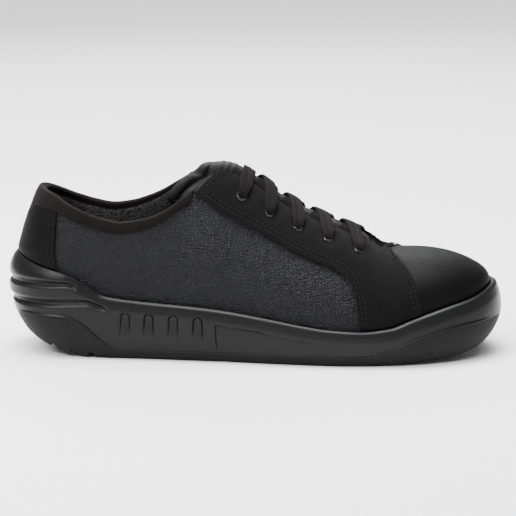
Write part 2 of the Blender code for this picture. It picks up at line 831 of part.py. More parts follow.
def build_counter(finish, home):
    """The heel piece, from the sole's rim to the collar's binding, with an upright front edge."""
    half = 8
    rows = []
    for column in range(-half, half + 1):
        side = -1 if column < 0 else 1
        end = turn_of(COUNTER_END / SHOE_LENGTH)
        foot = above_rim(station(end * abs(column) / half))
        row = []
        for j in range(5):
            share = j / 4
            lean = (COLLAR_HEIGHT - rim_height(0)) * share * COUNTER_LEAN
            back = upper_back(rim_height(0) + lean)
            end = turn_of(max(COUNTER_END - back, 0.0) / (upper_front() - back))
            turn = end * abs(column) / half
            top = binding_foot(station(turn), side) - COUNTER_DROP
            row.append((turn, side * (1 - foot - (top - foot) * share)))
        rows.append(row)
    face = COUNTER_SEAT + COUNTER_THICKNESS
    return build_patch("counter", rows, COUNTER_SEAT, face, finish, home)


def binding_turns():
    """The upper's own stations from the back of the heel to the start of the eyestay."""
    end = turn_of(BINDING_END)
    return [turn for turn in upper_turns() if turn <= end]


def build_binding(finish, home):
    """The tape folded over the top line, from one eyestay round the heel to the other."""
    turns = binding_turns()
    columns = [(turn, -1) for turn in turns[:0:-1]] + [(turn, 1) for turn in turns]
    near = BINDING_SEAT
    far = BINDING_SEAT + BINDING_THICKNESS
    back = UPPER_WALL + BINDING_SEAT / 2
    rows = []
    for turn, side in columns:
        along = station(turn)
        top = edge_up(along, side)
        foot = binding_foot(along, side)
        shares = [side * (1 - foot - (top - foot) * step) for step in (0, 0.5, 1)]
        rise = (skin(turn, shares[2]) - skin(turn, side * (1 - top + 0.02))).normalized()
        out_face = [skin(turn, share, far) for share in shares]
        out_seat = [skin(turn, share, near) for share in shares]
        in_seat = [skin(turn, share, -back - near) for share in shares]
        in_face = [skin(turn, share, -back - far) for share in shares]
        middle = (out_face[2] + in_face[2]) / 2
        fold = [
            out_face[2].lerp(middle, 0.25) + rise * far * 0.8,
            middle + rise * (near + far) * 0.9,
            in_face[2].lerp(middle, 0.25) + rise * far * 0.8,
        ]
        under_fold = [in_seat[2] + rise * near, out_seat[2] + rise * near]
        seat = in_seat[:2] + under_fold + out_seat[1::-1]
        rows.append(out_face + fold + in_face[::-1] + seat)
    mesh_data = bmesh.new()
    add_grid(mesh_data, rows, closed=True)
    mesh_data.verts.ensure_lookup_table()
    count = len(rows[0])
    ends = [range(count), range(len(rows) * count - count, len(rows) * count)]
    strips = ((0, 1, 13, 14), (1, 2, 12, 13), (2, 3, 12), (3, 4, 11, 12), (4, 5, 11))
    strips += ((5, 6, 11), (6, 7, 10, 11), (7, 8, 9, 10))
    for end in ends:
        loop = [mesh_data.verts[i] for i in end]
        for corners in strips:
            mesh_data.faces.new([loop[k] for k in corners])
    return finish_mesh("collar_binding", mesh_data, finish, home)


def eyestay_front():
    """Inner and front edge of the eyestay: pairs of share along and share up, None on the free edge."""
    first = EYESTAY_BACK["along"][0] + 0.004
    steps = 17
    last = THROAT_END
    edge = []
    for i in range(steps + 1):
        t = i / steps
        eased = 1 - (1 - t) ** 1.35
        edge.append((first + (last - first) * eased, None))
    shares = [(i + 1) / 7 for i in range(7)]
    by_drop = dict(drop=EYESTAY_FRONT["drop"], along=EYESTAY_FRONT["along"])
    front = [(BAND_END, 1.0)]
    for share in shares:
        along = follow(by_drop, "along", share)
        foot = above_rim(along)
        front.append((along, 1 + (foot - 1) * share))
    return edge, front


def eyestay_back(inner_count, front_count):
    """Lower and back edge of the eyestay, with as many points as its inner and front edges."""
    fine = 60
    first, last = EYESTAY_BACK["height"][0], EYESTAY_BACK["height"][-1]
    by_height = dict(height=EYESTAY_BACK["height"][::-1], along=EYESTAY_BACK["along"][::-1])
    points = []
    for i in range(fine + 1):
        height = first + (last - first) * i / fine
        points.append((follow(by_height, "along", height), height))
    reach = [0.0]
    for (a, b), (c, d) in zip(points, points[1:]):
        reach.append(reach[-1] + math.hypot((c - a) * SHOE_LENGTH, (d - b) * INSTEP_HEIGHT))
    spaced = []
    inner_share = 0.80
    shares = [inner_share * i / (inner_count - 1) for i in range(inner_count)]
    shares += [inner_share + (1 - inner_share) * (i + 1) / front_count for i in range(front_count)]
    for share in shares:
        at = reach[-1] * share
        k = min(max(int(np.searchsorted(reach, at)), 1), fine)
        t = (at - reach[k - 1]) / (reach[k] - reach[k - 1])
        along = points[k - 1][0] + (points[k][0] - points[k - 1][0]) * t
        height = points[k - 1][1] + (points[k][1] - points[k - 1][1]) * t
        up = max(up_at_height(along, height * INSTEP_HEIGHT), above_rim(along))
        spaced.append((along, up))
    return spaced


def build_eyestay(finish, home):
    """The suede piece that carries the eyelets: round the throat and down both sides to the sole."""
    edge, front = eyestay_front()
    rail = edge + front
    back = eyestay_back(len(edge), len(front))
    across = 6
    rows = []
    for side in (-1, 1):
        half = []
        for (along, up), (back_along, back_up) in zip(rail, back):
            if up is None:
                up = edge_up(along, side)
            turn, back_turn = turn_of(along), turn_of(back_along)
            line = []
            for j in range(across + 1):
                t = j / across
                line.append(
                    (
                        turn + (back_turn - turn) * t**1.5,
                        side * (1 - up - (back_up - up) * t),
                    )
                )
            half.append(line)
        rows.append(half)
    low, high = EYESTAY_SEAT, EYESTAY_SEAT + EYESTAY_THICKNESS
    mesh_data = bmesh.new()
    for half in rows:
        under = [[mesh_data.verts.new(skin(t, a, low)) for t, a in row] for row in half]
        over = [[mesh_data.verts.new(skin(t, a, high)) for t, a in row] for row in half]
        bridge = len(edge) - 1
        for i in range(len(half) - 1):
            for j in range(across):
                for sheet in (under, over):
                    mesh_data.faces.new(
                        (sheet[i][j], sheet[i][j + 1], sheet[i + 1][j + 1], sheet[i + 1][j])
                    )
            for j in (0, across):
                if j == 0 and i == bridge:
                    continue
                mesh_data.faces.new((under[i][j], under[i + 1][j], over[i + 1][j], over[i][j]))
        for i in (0, len(half) - 1):
            for j in range(across):
                mesh_data.faces.new((under[i][j], under[i][j + 1], over[i][j + 1], over[i][j]))
    return finish_mesh("eyestay", mesh_data, finish, home)


def eyelet_gap(pair):
    """Distance of a pair's eyelets from the ridge."""
    return THROAT_HALF_GAP + EYELET_FROM_EDGE + EYELET_SPREAD * pair / (EYELET_PAIRS - 1)


def eyelet_place(pair, side):
    """Turn and around of an eyelet's middle on the skin."""
    along = EYELET_FIRST + pair * EYELET_PITCH
    gap = eyelet_gap(pair)
    return turn_of(along), side * (1 - up_at_gap(along, side, gap))


def eyelet_frame(pair, side):
    """The eyelet's axis as a matrix: origin on the skin, +Z outwards."""
    turn, around = eyelet_place(pair, side)
    origin = skin(turn, around)
    outwards = (skin(turn, around, 0.001) - origin).normalized()
    turned = Vector((0, 0, 1)).rotation_difference(outwards).to_matrix().to_4x4()
    return Matrix.Translation(origin) @ turned


def drill_eyelets(pieces, cutters):
    """Cuts each eyelet's hole through the eyestay and the upper."""
    for pair in range(EYELET_PAIRS):
        for side in (-1, 1):
            for piece in pieces:
                bpy.ops.mesh.primitive_cylinder_add(
                    vertices=8, radius=EYELET_HOLE, depth=DRILL_LENGTH, end_fill_type="NGON"
                )
                drill = bpy.context.object
                drill.data.transform(eyelet_frame(pair, side))
                boolean(piece, as_cutter(drill, cutters))


def build_eyelets(finish, home):
    """Flanged tubes: a turned profile, with the flange on the eyestay and the tube through the wall."""
    seat = EYESTAY_SEAT + EYESTAY_THICKNESS + FIT
    tube = EYELET_HOLE - FIT
    profile = [
        (EYELET_BORE, -UPPER_WALL),
        (tube, -UPPER_WALL),
        (tube, seat),
        (EYELET_FLANGE, seat),
        (EYELET_BORE, seat + EYELET_SHEET),
    ]
    sides = 8
    for pair in range(EYELET_PAIRS):
        for side, word in ((-1, "lateral"), (1, "medial")):
            mesh_data = bmesh.new()
            rows = []
            for i in range(sides):
                angle = 2 * math.pi * i / sides
                rows.append(
                    [Vector((r * math.cos(angle), r * math.sin(angle), z)) for r, z in profile]
                )
            add_grid(mesh_data, rows + [rows[0]], closed=True)
            made = finish_mesh(f"eyelet_{word}_{pair + 1}", mesh_data, finish, home)
            made.data.transform(eyelet_frame(pair, side))


def tongue_lift(along, gap):
    """Lift of the tongue's face from the skin: under the wall, and swelling between the eyestays."""
    swell = max(1 - (gap / (THROAT_HALF_GAP * 0.92)) ** 2, 0.0)
    under = UPPER_WALL + TONGUE_SEAT + (BINDING_THICKNESS + FIT * 4) * (1 - fade(along, 0.36, 0.42))
    under += TONGUE_SEAT * fade(along, THROAT_END - 0.08, THROAT_END - 0.03)
    crown = TONGUE_CROWN * fade(swell, 0.0, 0.8)
    return crown * (1 - fade(along, THROAT_END - 0.045, THROAT_END - 0.008)) - under


def build_tongue(finish, home):
    """The padded tongue, from under the toe leather to its free end above the eyestays."""
    across = 8
    lengthwise = 15
    mesh_data = bmesh.new()
    sheets = ([], [])
    for i in range(lengthwise + 1):
        rows = ([], [])
        for j in range(across + 1):
            share = 2 * j / across - 1
            side = -1 if share < 0 else 1
            end = follow(TONGUE_END, "along", abs(share))
            along = end + (TONGUE_ROOT - end) * i / lengthwise
            half = TONGUE_HALF_WIDTH * (1 - TONGUE_TAPER * fade(along, 0.5, TONGUE_ROOT))
            gap = half * abs(share)
            turn = turn_of(along)
            around = side * (1 - up_at_gap(along, side, gap))
            lift = tongue_lift(along, gap)
            edge = 1 - TONGUE_THIN_SIDE * fade(abs(share), 0.55, 1.0)
            edge *= 1 - TONGUE_THIN_END * fade(-i, -1.2, 0.0)
            rows[0].append(skin(turn, around, lift))
            rows[1].append(skin(turn, around, lift - TONGUE_THICKNESS * edge))
        sheets[0].append(rows[0])
        sheets[1].append(rows[1])
    outside = [[mesh_data.verts.new(p) for p in row] for row in sheets[0]]
    inside = [[mesh_data.verts.new(p) for p in row] for row in sheets[1]]
    for i in range(lengthwise):
        for j in range(across):
            for sheet in (outside, inside):
                mesh_data.faces.new(
                    (sheet[i][j], sheet[i][j + 1], sheet[i + 1][j + 1], sheet[i + 1][j])
                )
        for j in (0, across):
            mesh_data.faces.new((outside[i][j], outside[i + 1][j], inside[i + 1][j], inside[i][j]))
    for i in (0, lengthwise):
        for j in range(across):
            mesh_data.faces.new((outside[i][j], outside[i][j + 1], inside[i][j + 1], inside[i][j]))
    return finish_mesh("tongue", mesh_data, finish, home)


def lace_lift(gap):
    """Lift of a lace's underside: on the eyelet's flange at its ends, over the tongue in the middle."""
    seat = EYESTAY_SEAT + EYESTAY_THICKNESS + EYELET_SHEET + FIT * 3
    return seat - LACE_SAG * (1 - fade(gap, THROAT_HALF_GAP * 0.2, THROAT_HALF_GAP * 1.1))


def build_strap(name, start, end, finish, home):
    """One flat lace between two places, each a share along and a signed distance from the ridge."""
    steps = 7
    line = []
    for i in range(steps + 1):
        t = i / steps
        along = start[0] + (end[0] - start[0]) * t
        gap = start[1] + (end[1] - start[1]) * t
        side = -1 if gap < 0 else 1
        around = side * (1 - up_at_gap(along, side, abs(gap)))
        lift = lace_lift(abs(gap))
        low = skin(turn_of(along), around, lift)
        high = skin(turn_of(along), around, lift + LACE_THICKNESS)
        line.append((low, high))
    mesh_data = bmesh.new()
    rows = []
    for i, (low, high) in enumerate(line):
        ahead = line[min(i + 1, steps)][0] - line[max(i - 1, 0)][0]
        sideways = ahead.cross(high - low).normalized()
        narrow = LACE_END + (1 - LACE_END) * fade(min(i, steps - i), 0, 2)
        reach = sideways * LACE_WIDTH / 2 * narrow
        rows.append([low - reach, low + reach, high + reach, high - reach])
    add_grid(mesh_data, rows, closed=True)
    mesh_data.verts.ensure_lookup_table()
    for first in (0, steps * 4):
        mesh_data.faces.new([mesh_data.verts[first + k] for k in range(4)])
    return finish_mesh(name, mesh_data, finish, home)


def build_laces(finish, home):
    """A straight bar at the top pair and a crossing between each two pairs below it."""
    reach = eyelet_gap(0)
    inner = THROAT_HALF_GAP * LACE_REACH
    build_strap("lace_bar_1", (EYELET_FIRST, -reach), (EYELET_FIRST, reach), finish, home)
    for pair in range(1, EYELET_PAIRS):
        low = EYELET_FIRST + pair * EYELET_PITCH
        high = low - EYELET_PITCH * LACE_RISE
        reach = eyelet_gap(pair)
        made = build_strap(f"lace_crossing_{pair}", (low, -reach), (high, inner), finish, home)
        other = build_strap("lace_other", (low, reach), (high, -inner), finish, home)
        boolean(made, other, "UNION")


def build():
    clear_scene()
    shoe = collection("safety_sneaker")
    cutters = collection("cutters")
    cutters.hide_render = True
    sole = material("moulded_sole", (0.035, 0.035, 0.037), 0.55)
    tread = material("tread", (0.028, 0.028, 0.028), 0.75)
    leather = material("grained_leather", (0.034, 0.033, 0.037), 0.50)
    suede = material("suede", (0.013, 0.013, 0.013), 0.92)
    smooth = material("smooth_leather", (0.025, 0.025, 0.026), 0.55)
    tape = material("binding_tape", (0.020, 0.017, 0.017), 0.85)
    cord = material("lace_cord", (0.022, 0.020, 0.021), 0.80)
    lining = material("lining", (0.020, 0.019, 0.019), 0.85)
    cover = material("tongue_cover", (0.020, 0.020, 0.021), 0.60)
    metal = material("eyelet_metal", (0.020, 0.020, 0.020), 0.30, 0.6)
    build_outsole(tread, shoe, cutters)
    build_midsole(sole, shoe, cutters)
    build_insole(lining, shoe)
    upper = build_upper(leather, shoe)
    build_counter(smooth, shoe)
    build_binding(tape, shoe)
    eyestay = build_eyestay(suede, shoe)
    drill_eyelets((eyestay, upper), cutters)
    build_eyelets(metal, shoe)
    build_tongue(cover, shoe)
    build_laces(cord, shoe)


build()
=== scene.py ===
# %% [markdown]
# # A black safety sneaker in leather, suede and moulded rubber
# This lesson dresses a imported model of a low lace-up safety sneaker, a right shoe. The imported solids
# stay hidden under finer pieces that are shaped by the same rules: one set of curves describes the
# sole and the last, and every panel, tape and row of stitches is laid on them.

import math
import time

import bpy
import numpy as np
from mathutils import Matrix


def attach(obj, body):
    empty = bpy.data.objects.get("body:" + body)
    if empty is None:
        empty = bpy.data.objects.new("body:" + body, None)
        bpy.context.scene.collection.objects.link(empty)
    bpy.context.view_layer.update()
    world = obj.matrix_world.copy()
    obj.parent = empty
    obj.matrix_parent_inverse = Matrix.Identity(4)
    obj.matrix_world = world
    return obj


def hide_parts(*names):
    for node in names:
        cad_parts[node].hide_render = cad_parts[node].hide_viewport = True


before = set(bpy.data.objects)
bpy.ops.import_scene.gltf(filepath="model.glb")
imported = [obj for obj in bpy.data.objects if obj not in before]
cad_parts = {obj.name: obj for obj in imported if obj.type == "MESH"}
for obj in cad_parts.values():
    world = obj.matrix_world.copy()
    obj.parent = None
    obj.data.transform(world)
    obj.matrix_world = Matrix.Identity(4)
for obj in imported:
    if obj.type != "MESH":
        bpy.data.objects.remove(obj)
started = time.time()
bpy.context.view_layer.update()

# %% [markdown]
# ## The sizes of the shoe
# A shoemaker starts from a last: a solid foot form with a length, a ball width and heights at the
# heel, the instep and the toe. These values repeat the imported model's, in metres. Tables hold shares
# of them, so that a form keeps its proportions.

# %% Sizes
LENGTH = 0.275
BALL_WIDTH = 0.0965
SOLE_HEIGHT = 0.0555
COLLAR_HEIGHT = 0.0908
INSTEP_HEIGHT = 0.1040
TOE_BOX_HEIGHT = 0.0562
FIT = 0.0003
WALL = 0.0020
INSOLE_THICKNESS = 0.0042
OUTSOLE_WALL = 0.0032
OUTSOLE_WEB = 0.0040
RIM_LEDGE = 0.0020
RIM_TUCK = 0.0016
RIM_TUCK_HEIGHT = 0.007
FOOT_TUCK = 0.0044
FOOT_TUCK_HEIGHT = 0.016
END_TUCK = 0.0053
UPPER_INSET = RIM_TUCK + RIM_LEDGE + FIT
GROOVE_DEPTH = 0.0019
GROOVE_HALF_HEIGHT = 0.0024
TREAD_DEPTH = 0.0025
TREAD_WIDTH = 0.0030
HEEL_BEVEL = (0.0600, 0.0340)
TOE_BEVEL = (0.0250, 0.0205)
TOE_BEVEL_SHARE = 0.94
TOE_SPRING = 0.0055
EYELET_PAIRS = 5
EYELET_FIRST = 0.452
EYELET_PITCH = 0.0668
EYELET_FROM_EDGE = 0.0085
EYELET_SPREAD = 0.0033
THROAT_HALF_GAP = 0.0125
THROAT_END = 0.776
BAND_END = 0.784
HEEL_ROUND = 0.125
TOE_ROUND = 0.26
TOE_NOSE = 0.834
ROUND_POWER = 2.2
BELOW_RIM = 0.0012
UPRIGHT_SHARE = 0.14
BINDING_END = 0.345
COUNTER_END = 0.0305


def table(columns, *rows):
    """A table with named columns, as a dictionary of lists."""
    return {name: [row[i] for row in rows] for i, name in enumerate(columns.split())}


print("length", LENGTH, "ball width", BALL_WIDTH, "collar height", COLLAR_HEIGHT)

# %% [markdown]
# ## Curves through a few points
# A last is drawn with a flexible ruler through a few measured points. A cubic whose slope at each
# point comes from its two neighbours does the same in code, and never bulges past its points, which
# a plain spline would do. All of these functions take whole arrays, because a fine mesh has tens of
# thousands of points.

# %% The flexible ruler
def follow(rows, column, at):
    """A smooth curve through one column of a table, with no overshoot between its rows."""
    x = np.array(next(iter(rows.values())), float)
    y = np.array(rows[column], float)
    step = np.diff(x)
    slope = np.diff(y) / step
    tangent = np.zeros(len(x))
    tangent[[0, -1]] = slope[[0, -1]]
    before = 2 * step[1:] + step[:-1]
    after = step[1:] + 2 * step[:-1]
    same = slope[:-1] * slope[1:] > 0
    low = np.where(same, slope[:-1], 1.0)
    high = np.where(same, slope[1:], 1.0)
    tangent[1:-1] = np.where(same, (before + after) / (before / low + after / high), 0.0)
    at = np.clip(at, x[0], x[-1])
    i = np.clip(np.searchsorted(x, at, side="right") - 1, 0, len(x) - 2)
    t = (at - x[i]) / step[i]
    start = (1 + 2 * t) * (1 - t) ** 2 * y[i] + t * (1 - t) ** 2 * step[i] * tangent[i]
    return start + t * t * (3 - 2 * t) * y[i + 1] + t * t * (t - 1) * step[i] * tangent[i + 1]


def part_way(at, start, end):
    """0 before start, 1 after end, and straight between them."""
    return np.clip((at - start) / (end - start), 0.0, 1.0)


def fade(at, start, end):
    """0 before start, 1 after end, and smooth between them."""
    t = part_way(at, start, end)
    return t * t * (3 - 2 * t)


def hump(distance, width):
    """1 at no distance, falling off smoothly over about a width to both sides."""
    return np.exp(-((distance / width) ** 2))


def pick(test, first, second):
    """Points of first where the test holds, and of second elsewhere."""
    return np.where(test[:, None], first, second)


def station(turn):
    """A share of the length that moves slowly at both round ends."""
    return (1 - np.cos(np.pi * turn)) / 2


def turn_of(along):
    return np.arccos(1 - 2 * np.clip(along, 0.0, 1.0)) / np.pi


print("halfway along the shoe is turn", turn_of(0.5))

# %% [markdown]
# ## The outline and the side of the sole
# The sole is one outline in plan, a curve for each line on its side, and a bevel at both ends. Its
# side leans, turns in at the tread and at the rim, and carries two grooves round the heel, four
# flutes and a long recess. Each of these is only a distance inwards from the plain side.

# %% Tables of the sole
PLAN = table(
    "along centre half ridge",
    (0.00, 0.000, 0.695, 0.000),
    (0.12, 0.000, 0.705, 0.000),
    (0.25, -0.020, 0.715, 0.000),
    (0.40, -0.050, 0.755, 0.025),
    (0.55, -0.030, 0.880, 0.050),
    (0.70, 0.020, 0.990, 0.070),
    (0.80, 0.055, 1.000, 0.085),
    (1.00, 0.125, 0.975, 0.125),
)
SOLE = table(
    "along rim line upper_groove lower_groove floor",
    (0.000, 1.000, 0.385, 0.730, 0.548, 0.530),
    (0.050, 0.918, 0.425, 0.742, 0.552, 0.520),
    (0.120, 0.832, 0.415, 0.746, 0.562, 0.510),
    (0.165, 0.715, 0.330, 0.640, 0.566, 0.500),
    (0.190, 0.640, 0.215, 0.592, 0.530, 0.500),
    (0.225, 0.612, 0.085, 0.568, 0.482, 0.495),
    (0.385, 0.550, 0.085, 0.506, 0.450, 0.440),
    (0.440, 0.524, 0.085, 0.480, 0.402, 0.410),
    (0.520, 0.470, 0.085, 0.426, 0.352, 0.350),
    (0.600, 0.405, 0.085, 0.361, 0.270, 0.290),
    (0.660, 0.368, 0.085, 0.324, 0.254, 0.255),
    (0.720, 0.354, 0.090, 0.312, 0.254, 0.240),
    (0.780, 0.384, 0.170, 0.342, 0.285, 0.240),
    (0.830, 0.470, 0.270, 0.425, 0.370, 0.248),
    (0.900, 0.568, 0.355, 0.515, 0.455, 0.268),
    (0.960, 0.632, 0.385, 0.570, 0.500, 0.330),
    (1.000, 0.705, 0.400, 0.640, 0.560, 0.400),
)
SOLE_ENDS = table(
    "level back front",
    (0.00, 0.94, 0.32),
    (0.12, 0.56, 0.10),
    (0.30, 0.20, 0.00),
    (0.46, 0.00, 0.05),
    (0.75, 0.09, 0.26),
    (0.91, 0.50, 0.55),
    (1.00, 1.00, 0.80),
)


# %% [markdown]
# ### From shares to points
# In plan the sole closes as an ellipse at the heel and as a slightly fuller one at the toe. Its middle
# is measured once and laid over the origin. The underside is flat, with a bevel at both ends and a
# little toe spring.

# %% The plan outline and the heights of the sole
def end_round(along):
    """1 in the middle of the shoe, falling to 0 round the heel and round the toe."""
    heel = np.maximum(1 - along / HEEL_ROUND, 0.0)
    toe = np.clip(1 - (1 - along) / TOE_ROUND, 0.0, 1.0)
    return np.sqrt(1 - heel**2) * (1 - toe**ROUND_POWER) ** (1 / ROUND_POWER)


def plan_point(along, side, inset, back, front, height, across=1.0):
    """Points of the plan outline set in by inset, at a share along it."""
    half_ball = BALL_WIDTH / 2
    half = (follow(PLAN, "half", along) * half_ball - inset) * end_round(along)
    x = back + along * (front - back)
    y = follow(PLAN, "centre", along) * half_ball + side * half * across
    x, y, z = np.broadcast_arrays(x - LENGTH / 2, y - OUTLINE_MIDDLE, height)
    return np.stack([x, y, z], -1)


def outline_middle():
    """Middle of the sole's width in plan, which lies over the origin."""
    along = np.linspace(0, 1, 401)
    half = follow(PLAN, "half", along) * end_round(along)
    centre = follow(PLAN, "centre", along)
    reach = [centre + side * half for side in (-1, 1)]
    return sum(line[np.argmax(np.abs(line))] for line in reach) * BALL_WIDTH / 4


OUTLINE_MIDDLE = outline_middle()


def tread_height(along):
    """Height of the sole's underside: flat, with a round bevel at the heel and a spring at the toe."""
    tuck = END_TUCK * SOLE_ENDS["back"][0]
    x = tuck + along * (LENGTH - tuck)
    heel = np.maximum(1 - x / HEEL_BEVEL[0], 0.0)
    height = HEEL_BEVEL[1] * (1 - np.sqrt(1 - heel**2)) + TOE_SPRING * fade(along, 0.66, 1.04)
    toe = np.maximum(1 - (LENGTH - x) / TOE_BEVEL[0], 0.0) * TOE_BEVEL_SHARE
    return height + TOE_BEVEL[1] * (1 - np.sqrt(1 - toe**2))


def sole_height(line, along):
    """Height of one of the lines on the sole's side."""
    height = SOLE_HEIGHT * follow(SOLE, line, along)
    if line == "line":
        height = np.maximum(height, tread_height(along) + OUTSOLE_WEB + FIT)
    return height


print("middle of the outline", round(OUTLINE_MIDDLE, 5))
print("rim at the heel", float(sole_height("rim", 0.0)))

# %% [markdown]
# ## The flutes and the long recess
# Four upright flutes stand behind the ball. Each is an arch outlined by a fine engraved line, deepest
# at its top and running out at its foot. Ahead of them a long recess starts with an upright step and
# fades out towards the toe. Two grooves run round the heel: they sink slowly and end in a lower lip
# that looks up and catches the light. Written as depths over the side, all of these need no cutter.

# %% Depths of the moulded features
FLUTE_SHARES = (0.2475, 0.2950, 0.3445, 0.3940)
FLUTE_TOP_WIDTH = 0.0048
FLUTE_FOOT_WIDTH = 0.0060
FLUTE_HEIGHT = 0.0150
FLUTE_DEPTH = 0.0010
RECESS_DEPTH = 0.0009
RECESS_START = 0.4290
EDGE_SOFTNESS = 0.0003
OUTLINE_DEPTH = 0.0008
OUTLINE_WIDTH = 0.00035
STEP_LINE_DEPTH = 0.0003


def flute_depth(along, height):
    depth = 0.0
    for share in FLUTE_SHARES:
        top = sole_height("lower_groove", share) + 0.0004
        down = (top - height) / FLUTE_HEIGHT
        across = np.abs(along - share) * LENGTH
        half = (FLUTE_TOP_WIDTH + (FLUTE_FOOT_WIDTH - FLUTE_TOP_WIDTH) * np.clip(down, 0, 1)) / 2
        round_top = np.clip((top - height) / half, 0.0, 1.0)
        half = half * np.sqrt(1 - (1 - round_top) ** 2)
        inside = fade(half - across, -EDGE_SOFTNESS, EDGE_SOFTNESS) * (down > 0)
        run_out = 1 - fade(down, 0.10, 1.0)
        outline = hump(half - across, OUTLINE_WIDTH) * (down > 0)
        outline = outline * (1 - fade(down, 0.45, 0.95))
        depth = np.maximum(depth, 0.6 * FLUTE_DEPTH * run_out * inside + OUTLINE_DEPTH * outline)
    return depth


def heel_groove(up, along, end):
    """Depth at a height over the groove's middle: a long upper slope and a steep lower lip."""
    half = GROOVE_HALF_HEIGHT * (1 - 0.4 * fade(along, end - 0.09, end))
    slope = 1 - fade(up, -half * 0.2, half * 1.5)
    lip = 1 - fade(-up, half * 0.1, half * 1.1)
    return GROOVE_DEPTH * 0.95 * slope * lip * (1 - fade(along, end - 0.02, end))


def side_relief(along, height):
    """How far the grooves, flutes and recess stand in from the plain side."""
    upper = sole_height("upper_groove", along)
    lower = sole_height("lower_groove", along)
    depth = flute_depth(along, height)
    for middle, end in ((upper, 0.150), (lower, 0.215)):
        depth = depth + heel_groove(height - middle, along, end)
    recess = fade(along, RECESS_START, RECESS_START + 0.0015) * (1 - fade(along, 0.60, 0.74))
    below_top = lower - 0.0012 - height
    below = fade(below_top, -EDGE_SOFTNESS, EDGE_SOFTNESS) * fade(height, 0.004, 0.012)
    top_line = hump(below_top, 0.0004) * (along > RECESS_START)
    step_line = np.maximum(top_line, hump(along - RECESS_START - 0.0007, 0.00125) * below)
    step_line = step_line * (1 - fade(along, 0.48, 0.68))
    return depth + RECESS_DEPTH * recess * below + STEP_LINE_DEPTH * step_line


heights = np.linspace(0.004, 0.050, 200)
deepest = float(side_relief(np.full(200, FLUTE_SHARES[0]), heights).max())
print("deepest relief at the first flute", round(deepest, 5))


def wall_point(along, side, height, inward=0.0, relief=True):
    """Points on the side of the sole, or inward from it."""
    low = tread_height(along)
    rim = sole_height("rim", along)
    level = (height - low) / (rim - low)
    foot = FOOT_TUCK * np.maximum(1 - (height - low) / FOOT_TUCK_HEIGHT, 0.0) ** 2.5
    shoulder = RIM_TUCK * np.maximum(1 - (rim - height) / RIM_TUCK_HEIGHT, 0.0) ** 2
    inward = inward + (side_relief(along, height) if relief else 0.0)
    back = END_TUCK * follow(SOLE_ENDS, "back", level) + inward
    front = LENGTH - END_TUCK * follow(SOLE_ENDS, "front", level) - inward
    return plan_point(along, side, foot + shoulder + inward, back, front, height)


# %% [markdown]
# ## The last
# Above the rim the shoe follows the last. A cross section rises upright from the rim, then bends over
# to the ridge of the instep as a soft arch. The heel leans forward, the ridge falls to the toe box,
# and the toe closes like the end of an ellipse. A place on the skin is a turn from heel to toe and a
# share around, from the outer edge over the ridge to the inner edge, with a lift square to the skin.

# %% Tables of the last
HEEL_CURVE = table(
    "height in_from_back",
    (0.25, 0.064),
    (0.50, 0.067),
    (0.62, 0.070),
    (0.70, 0.089),
    (0.84, 0.134),
    (1.00, 0.205),
    (1.30, 0.330),
)
RIDGE = table(
    "along ridge fullness",
    (0.000, 1.300, 2.20),
    (0.200, 1.290, 2.20),
    (0.270, 1.180, 2.20),
    (0.320, 1.060, 2.20),
    (0.352, 1.014, 2.20),
    (0.384, 1.010, 2.20),
    (0.412, 0.992, 2.20),
    (0.460, 0.937, 2.15),
    (0.544, 0.812, 2.10),
    (0.604, 0.738, 2.10),
    (0.674, 0.668, 2.15),
    (0.732, 0.610, 2.20),
    (0.772, 0.562, 2.25),
    (0.800, 0.562, 2.30),
    (1.000, 0.565, 2.40),
)
TOPLINE = table(
    "along lateral medial",
    (0.000, 1.000, 1.000),
    (0.038, 0.977, 0.946),
    (0.081, 0.927, 0.894),
    (0.128, 0.877, 0.855),
    (0.170, 0.840, 0.836),
    (0.208, 0.823, 0.850),
    (0.264, 0.848, 0.914),
    (0.298, 0.896, 0.987),
    (0.325, 0.964, 1.045),
    (0.353, 1.030, 1.090),
    (0.372, 1.085, 1.125),
    (0.400, 1.140, 1.160),
    (0.450, 1.260, 1.260),
    (0.500, 1.400, 1.400),
)
BINDING = table(
    "along width",
    (0.00, 0.115),
    (0.03, 0.100),
    (0.07, 0.070),
    (0.40, 0.068),
)
EYESTAY_BACK = table(
    "along height",
    (0.349, 0.868),
    (0.367, 0.852),
    (0.411, 0.793),
    (0.470, 0.725),
    (0.529, 0.657),
    (0.580, 0.590),
    (0.638, 0.528),
    (0.680, 0.485),
    (0.703, 0.430),
    (0.716, 0.350),
    (0.722, 0.270),
    (0.724, 0.205),
)
EYESTAY_FRONT = table(
    "drop along",
    (0.00, 0.784),
    (0.22, 0.803),
    (0.50, 0.828),
    (0.75, 0.843),
    (1.00, 0.853),
)
TONGUE_END = table(
    "across along",
    (0.00, 0.349),
    (0.35, 0.341),
    (0.70, 0.320),
    (1.00, 0.293),
)


# %% [markdown]
# ### The skin
# Each side of a section is a quarter of a superellipse on top of a short upright wall, and both sides
# meet at the ridge. The direction square to the skin comes from points a small step away.

# %% The skin of the last
def upper_back(height):
    return COLLAR_HEIGHT * follow(HEEL_CURVE, "in_from_back", height / COLLAR_HEIGHT)


UPPER_FRONT = LENGTH - END_TUCK * SOLE_ENDS["front"][-1] - RIM_LEDGE - FIT


def cavity_point(along, side, height, across=1.0, inward=0.0):
    """Points inside the sole's cup, set in from its wall."""
    heel_rim = upper_back(sole_height("rim", 0.0))
    back = np.minimum(upper_back(height), heel_rim) - FIT + inward
    front = UPPER_FRONT + FIT - inward
    return plan_point(along, side, UPPER_INSET - FIT + inward, back, front, height, across)


def widest_height(along):
    return sole_height("rim", along) - BELOW_RIM


